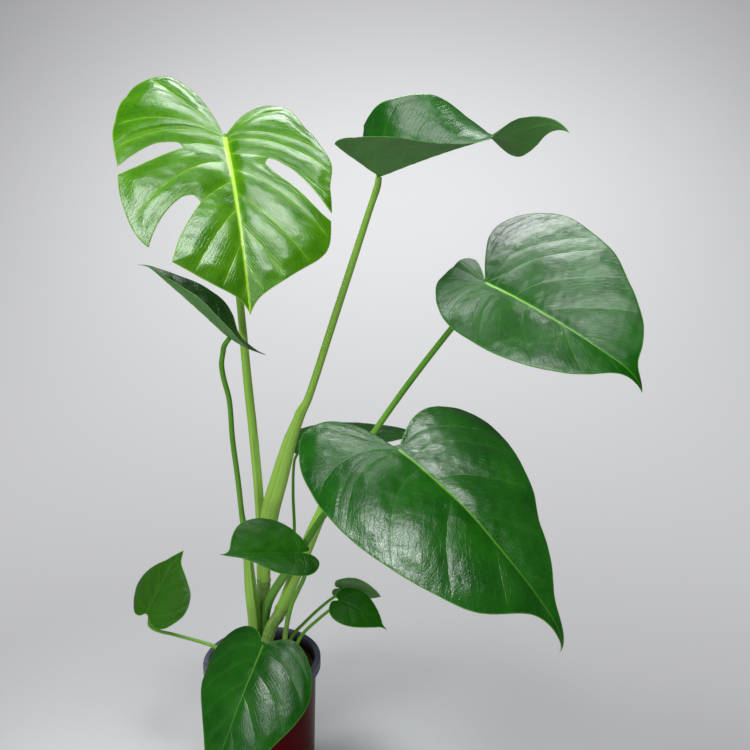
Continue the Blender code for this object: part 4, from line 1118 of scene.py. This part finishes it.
def mould_pot(mat):
    rim, top, foot, t = POT_RIM_RADIUS, POT_WALL_RADIUS_TOP, POT_WALL_RADIUS_FOOT, POT_WALL
    lip = POT_HEIGHT - POT_RIM_DEPTH
    outer = [(0.0, 0.0006), (0.020, 0.0006), (0.024, 0.0), (0.048, 0.0), (foot - 0.0030, 0.0), (foot, 0.0042)]
    for i in range(1, 13):
        share = i / 13
        outer.append((foot + (top - foot) * share, 0.0042 + (lip - 0.005) * share))
    outer += [(top, lip - 0.0010), (top + 0.0009, lip - 0.0004), (rim - 0.0009, lip + 0.0002), (rim, lip + 0.0016),
              (rim, lip + 0.0055), (rim - 0.0003, lip + 0.0062), (rim - 0.0003, lip + 0.0074), (rim, lip + 0.0081),
              (rim, POT_HEIGHT - 0.0018), (rim - 0.0014, POT_HEIGHT), (top - t + 0.0014, POT_HEIGHT),
              (top - t, POT_HEIGHT - 0.0018), (top - t, lip - 0.004), (foot - t, 0.0055),
              (foot - 0.0040, POT_FLOOR), (0.048, POT_FLOOR), (0.024, POT_FLOOR), (0.0, POT_FLOOR)]
    mesh = lathe("nursery_pot", rounded(outer, 0.0007, 4), 144, mat)
    obj = bpy.data.objects.new("pot", mesh)
    bpy.context.collection.objects.link(obj)
    for i in range(DRAIN_HOLES):
        a = 2 * math.pi * (i + 0.5) / DRAIN_HOLES
        bpy.ops.mesh.primitive_cylinder_add(
            vertices=40, radius=DRAIN_HOLE_RADIUS, depth=0.012,
            location=(DRAIN_HOLE_CIRCLE * math.cos(a), DRAIN_HOLE_CIRCLE * math.sin(a), 0.0))
        cutter = bpy.context.object
        hole = obj.modifiers.new("hole", "BOOLEAN")
        hole.operation, hole.solver, hole.object = "DIFFERENCE", "EXACT", cutter
        bpy.context.view_layer.objects.active = obj
        bpy.ops.object.modifier_apply(modifier=hole.name)
        bpy.data.objects.remove(cutter, do_unlink=True)
    mesh = obj.data
    co = np.empty(len(mesh.vertices) * 3, np.float32)
    mesh.vertices.foreach_get("co", co)
    co = co.reshape(-1, 3)
    r, z = np.hypot(co[:, 0], co[:, 1]), co[:, 2]
    within = top - t + 0.0002
    tapered = foot + (top - foot) * np.clip(z / lip, 0, 1) - t / 2
    inside = ((r < tapered) & (z > POT_FLOOR - 1e-4) & (z < POT_HEIGHT - 0.003)).astype(float)
    set_floats(mesh, "inside", inside)
    set_floats(mesh, "rim", ((z > lip - 0.0003) & (r > within - 0.0004)).astype(float))
    mesh.set_sharp_from_angle(angle=math.radians(45))
    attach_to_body(obj, "root")
    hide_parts("nursery_pot")
    return obj


def heap_soil(mat):
    lip = POT_HEIGHT - POT_RIM_DEPTH
    t = POT_WALL + 0.0001

    def inner(z):
        share = (z - 0.005) / (lip - 0.009)
        return POT_WALL_RADIUS_FOOT + share * (POT_WALL_RADIUS_TOP - POT_WALL_RADIUS_FOOT) - t

    top = inner(0.117)
    profile = [(0.0, POT_FLOOR + 0.0002), (POT_WALL_RADIUS_FOOT - 0.0052, POT_FLOOR + 0.0002),
               (inner(0.0056), 0.0056), (inner(0.06), 0.06), (top, 0.1172)]
    radii = np.linspace(top - 0.0008, 0.0007, 62)
    profile += [(r, SOIL_TOP) for r in radii] + [(0.0, SOIL_TOP)]
    mesh = lathe("potting_soil", profile, 200, mat)
    count = len(mesh.vertices)
    co = np.empty(count * 3, np.float32)
    mesh.vertices.foreach_get("co", co)
    co = co.reshape(-1, 3)
    x, y = co[:, 0] * 1000, co[:, 1] * 1000
    above = co[:, 2] > SOIL_TOP - 1e-5
    rough = ripples(31, x, y, (14, 40), 0.7) + ripples(32, x, y, (5, 10), 0.45, 14) + ripples(33, x, y, (2.4, 4.5), 0.28, 18)
    rng = np.random.default_rng(5)
    rough += rng.normal(0, 0.10, count)
    co[above, 2] += (rough[above] * MM).clip(-0.0022, 0.0024)
    mesh.vertices.foreach_set("co", co.ravel())
    set_floats(mesh, "tint", eased((rough - 0.4) / 2.0) * above)
    attach(bpy.data.objects.new("soil", mesh), "potting_soil", "potting_soil")

    # Loose crumbs of peat and bark on top.
    phi = (1 + math.sqrt(5)) / 2
    ico = np.array([(-1, phi, 0), (1, phi, 0), (-1, -phi, 0), (1, -phi, 0), (0, -1, phi), (0, 1, phi),
                    (0, -1, -phi), (0, 1, -phi), (phi, 0, -1), (phi, 0, 1), (-phi, 0, -1), (-phi, 0, 1)], float)
    ico /= np.linalg.norm(ico[0])
    tri = [(0, 11, 5), (0, 5, 1), (0, 1, 7), (0, 7, 10), (0, 10, 11), (1, 5, 9), (5, 11, 4), (11, 10, 2),
           (10, 7, 6), (7, 1, 8), (3, 9, 4), (3, 4, 2), (3, 2, 6), (3, 6, 8), (3, 8, 9), (4, 9, 5),
           (2, 4, 11), (6, 2, 10), (8, 6, 7), (9, 8, 1)]
    finer, halves, cells = list(map(tuple, ico)), {}, []

    def half(a, b):
        key = (min(a, b), max(a, b))
        if key not in halves:
            p = (np.array(finer[a]) + np.array(finer[b])) / 2
            finer.append(tuple(p / np.linalg.norm(p)))
            halves[key] = len(finer) - 1
        return halves[key]

    for a, b, c in tri:
        ab, bc, ca = half(a, b), half(b, c), half(c, a)
        cells += [(a, ab, ca), (b, bc, ab), (c, ca, bc), (ab, bc, ca)]
    ball = np.array(finer)
    vertices, faces, tints = [], [], []
    for _ in range(420):
        r = 0.0545 * math.sqrt(rng.uniform(0.0, 1.0))
        a = rng.uniform(0, 2 * math.pi)
        size = rng.choice([0.0007, 0.0011, 0.0016, 0.0022], p=[0.42, 0.33, 0.18, 0.07]) * rng.uniform(0.8, 1.25)
        shape = ball * rng.uniform(0.55, 1.15, 3) * (1 + rng.normal(0, 0.13, len(ball)))[:, None] * size
        turn = rng.uniform(0, 2 * math.pi)
        c, s = math.cos(turn), math.sin(turn)
        shape = np.column_stack([c * shape[:, 0] - s * shape[:, 1], s * shape[:, 0] + c * shape[:, 1], 0.75 * shape[:, 2]])
        px, py = r * math.cos(a), r * math.sin(a)
        lift = (ripples(31, px * 1000, py * 1000, (14, 40), 0.7) + ripples(32, px * 1000, py * 1000, (5, 10), 0.45, 14)) * MM
        shape += (px, py, SOIL_TOP + float(lift) + size * 0.30)
        base = len(vertices)
        vertices += list(shape)
        faces += [(p + base, q + base, k + base) for p, q, k in cells]
        tints += [rng.uniform(0, 1) ** 2] * len(ball)
    mesh = new_mesh("soil_crumbs", vertices, faces, mat)
    set_floats(mesh, "tint", np.array(tints))
    attach(bpy.data.objects.new("soil_crumbs", mesh), "potting_soil")


# ------------------------------------------------------- studio and camera
def aim(obj, target):
    away = Vector(target) - obj.location
    obj.rotation_euler = away.to_track_quat("-Z", "Y").to_euler()


def lamp(name, place, target, size, power, colour=(1, 1, 1), mirrored=True):
    data = bpy.data.lights.new(name, "AREA")
    data.shape, data.size, data.size_y = "RECTANGLE", size[0], size[1]
    data.energy, data.color = power, colour
    obj = bpy.data.objects.new(name, data)
    bpy.context.collection.objects.link(obj)
    obj.location = place
    obj.visible_glossy = mirrored
    if target:
        aim(obj, target)


def studio():
    data = bpy.data.cameras.new("camera")
    data.lens, data.sensor_width = 37.44, 36.0
    camera = bpy.data.objects.new("camera", data)
    bpy.context.collection.objects.link(camera)
    camera.location = (0.126, -0.788, 0.624)
    camera.rotation_euler = (math.radians(78), 0, 0)
    bpy.context.scene.camera = camera
    bpy.context.scene.view_settings.view_transform = "Standard"

    world = bpy.data.worlds.new("studio")
    bpy.context.scene.world = world
    world.use_nodes = True
    tree = world.node_tree
    tree.nodes.clear()
    f = Finish.__new__(Finish)
    f.tree = tree
    way = f.node("ShaderNodeTexCoord").outputs["Generated"]
    x, y, z = f.split(way)
    # A lit wall: brightest a little above the middle, darker up and outwards.
    rise = f.node("ShaderNodeValToRGB")
    rise.color_ramp.interpolation = "B_SPLINE"
    f.feed(rise.inputs[0], f.math("ADD", f.math("MULTIPLY", z, 0.5), 0.5))
    marks = [(0.0, 0.66), (0.12, 0.56), (0.19, 0.38), (0.24, 0.50), (0.33, 0.62), (0.42, 0.74), (0.50, 0.86), (0.56, 0.78), (0.62, 0.55),
             (0.75, 0.42), (1.0, 0.40)]
    ramp = rise.color_ramp
    while len(ramp.elements) < len(marks):
        ramp.elements.new(0.5)
    for element, (at, value) in zip(ramp.elements, marks):
        element.position = at
        element.color = (value * 0.985, value * 0.99, value * 1.01, 1)
    off = f.math("SUBTRACT", x, 0.02)
    off = f.math("MULTIPLY", off, off)
    strength = f.fade(z, -0.45, 0.22, 0.25, 2.2)
    dim = f.math("SUBTRACT", 1.0, f.math("MULTIPLY", off, strength))
    dim = f.math("MAXIMUM", dim, f.fade(off, 0.20, 0.55, 0.42, 0.92))
    wall = f.mix(1.0, rise.outputs[0], dim, "MULTIPLY")
    seen = f.node("ShaderNodeBackground")
    f.feed(seen.inputs["Color"], wall)
    seen.inputs["Strength"].default_value = 1.0
    # What lights the plant: a pale room, brighter low down.
    room = f.mix(f.fade(z, -0.5, 0.15), (0.78, 0.78, 0.79), (0.34, 0.345, 0.355))
    light = f.node("ShaderNodeBackground")
    f.feed(light.inputs["Color"], room)
    light.inputs["Strength"].default_value = 0.30
    choose = f.node("ShaderNodeMixShader")
    f.feed(choose.inputs[0], f.node("ShaderNodeLightPath").outputs["Is Camera Ray"])
    f.feed(choose.inputs[1], light.outputs[0])
    f.feed(choose.inputs[2], seen.outputs[0])
    out = f.node("ShaderNodeOutputWorld")
    f.feed(out.inputs["Surface"], choose.outputs[0])

    # Three panels overhead show in the gloss of the leaves; the wide lamps don't.
    lamp("near_panel", (0.11, -0.27, 1.45), None, (0.44, 0.38), 9.5, (0.97, 0.99, 1.0))
    lamp("far_panel", (0.19, 0.50, 1.45), None, (0.60, 0.20), 8.0, (0.97, 0.99, 1.0))
    lamp("front_panel", (-0.10, -0.92, 1.45), None, (0.44, 0.30), 2.6, (0.97, 0.99, 1.0))
    lamp("front_light", (-1.0, -1.0, 1.25), (0.05, 0.0, 0.40), (1.3, 1.1), 17, (1.0, 0.995, 0.98), False)
    lamp("low_light", (0.15, -0.85, 0.14), (0.15, 0.10, 0.60), (1.1, 0.4), 2.8, (1.0, 1.0, 0.99), False)

    # Floor: pale, and fading out into the backdrop away from the pot.
    g = Finish("floor_finish", roughness=0.6)
    place = g.node("ShaderNodeTexCoord").outputs["Object"]
    px, py, _ = g.split(place)
    far = g.math("SQRT", g.math("ADD", g.math("MULTIPLY", px, px), g.math("MULTIPLY", py, py)))
    speck = g.noise(place, 160.0, 3.0)
    g.feed(g.shader.inputs["Base Color"], g.mix(speck, (0.68, 0.685, 0.70), (0.72, 0.725, 0.74)))
    clear = g.node("ShaderNodeBsdfTransparent")
    both = g.node("ShaderNodeMixShader")
    g.feed(both.inputs[0], g.fade(far, 0.12, 0.55))
    g.feed(both.inputs[1], g.shader.outputs[0])
    g.feed(both.inputs[2], clear.outputs[0])
    g.feed(g.tree.nodes["Material Output"].inputs["Surface"], both.outputs[0])
    ring = [(0.8 * math.cos(2 * math.pi * k / 96), 0.8 * math.sin(2 * math.pi * k / 96), -0.0002) for k in range(96)]
    mesh = new_mesh("floor", ring, [tuple(range(96))], g.mat)
    floor = bpy.data.objects.new("floor", mesh)
    bpy.context.collection.objects.link(floor)


studio()
LEAF_MATS = {tone: leaf_finish("leaf_" + tone, tone) for tone in LEAF_TONES}
STALK_MATS = {tone: stalk_finish("stalk_" + tone, tone) for tone in STALK_TONES}
for blade_name, leaf in BLADES.items():
    grow_blade(blade_name, leaf, LOOKS[blade_name], LEAF_MATS[LOOKS[blade_name]["tone"]])
for stalk_name, (blade_name, rows) in STALKS.items():
    grow_stalk(stalk_name, blade_name, rows, STALK_LOOKS[stalk_name], STALK_MATS[STALK_LOOKS[stalk_name]["tone"]])
stem_mat = stem_finish()
for stem_name, rows in STEMS.items():
    grow_stem(stem_name, rows, stem_mat)
mould_pot(pot_finish())
heap_soil(soil_finish())

bpy.context.view_layer.update()
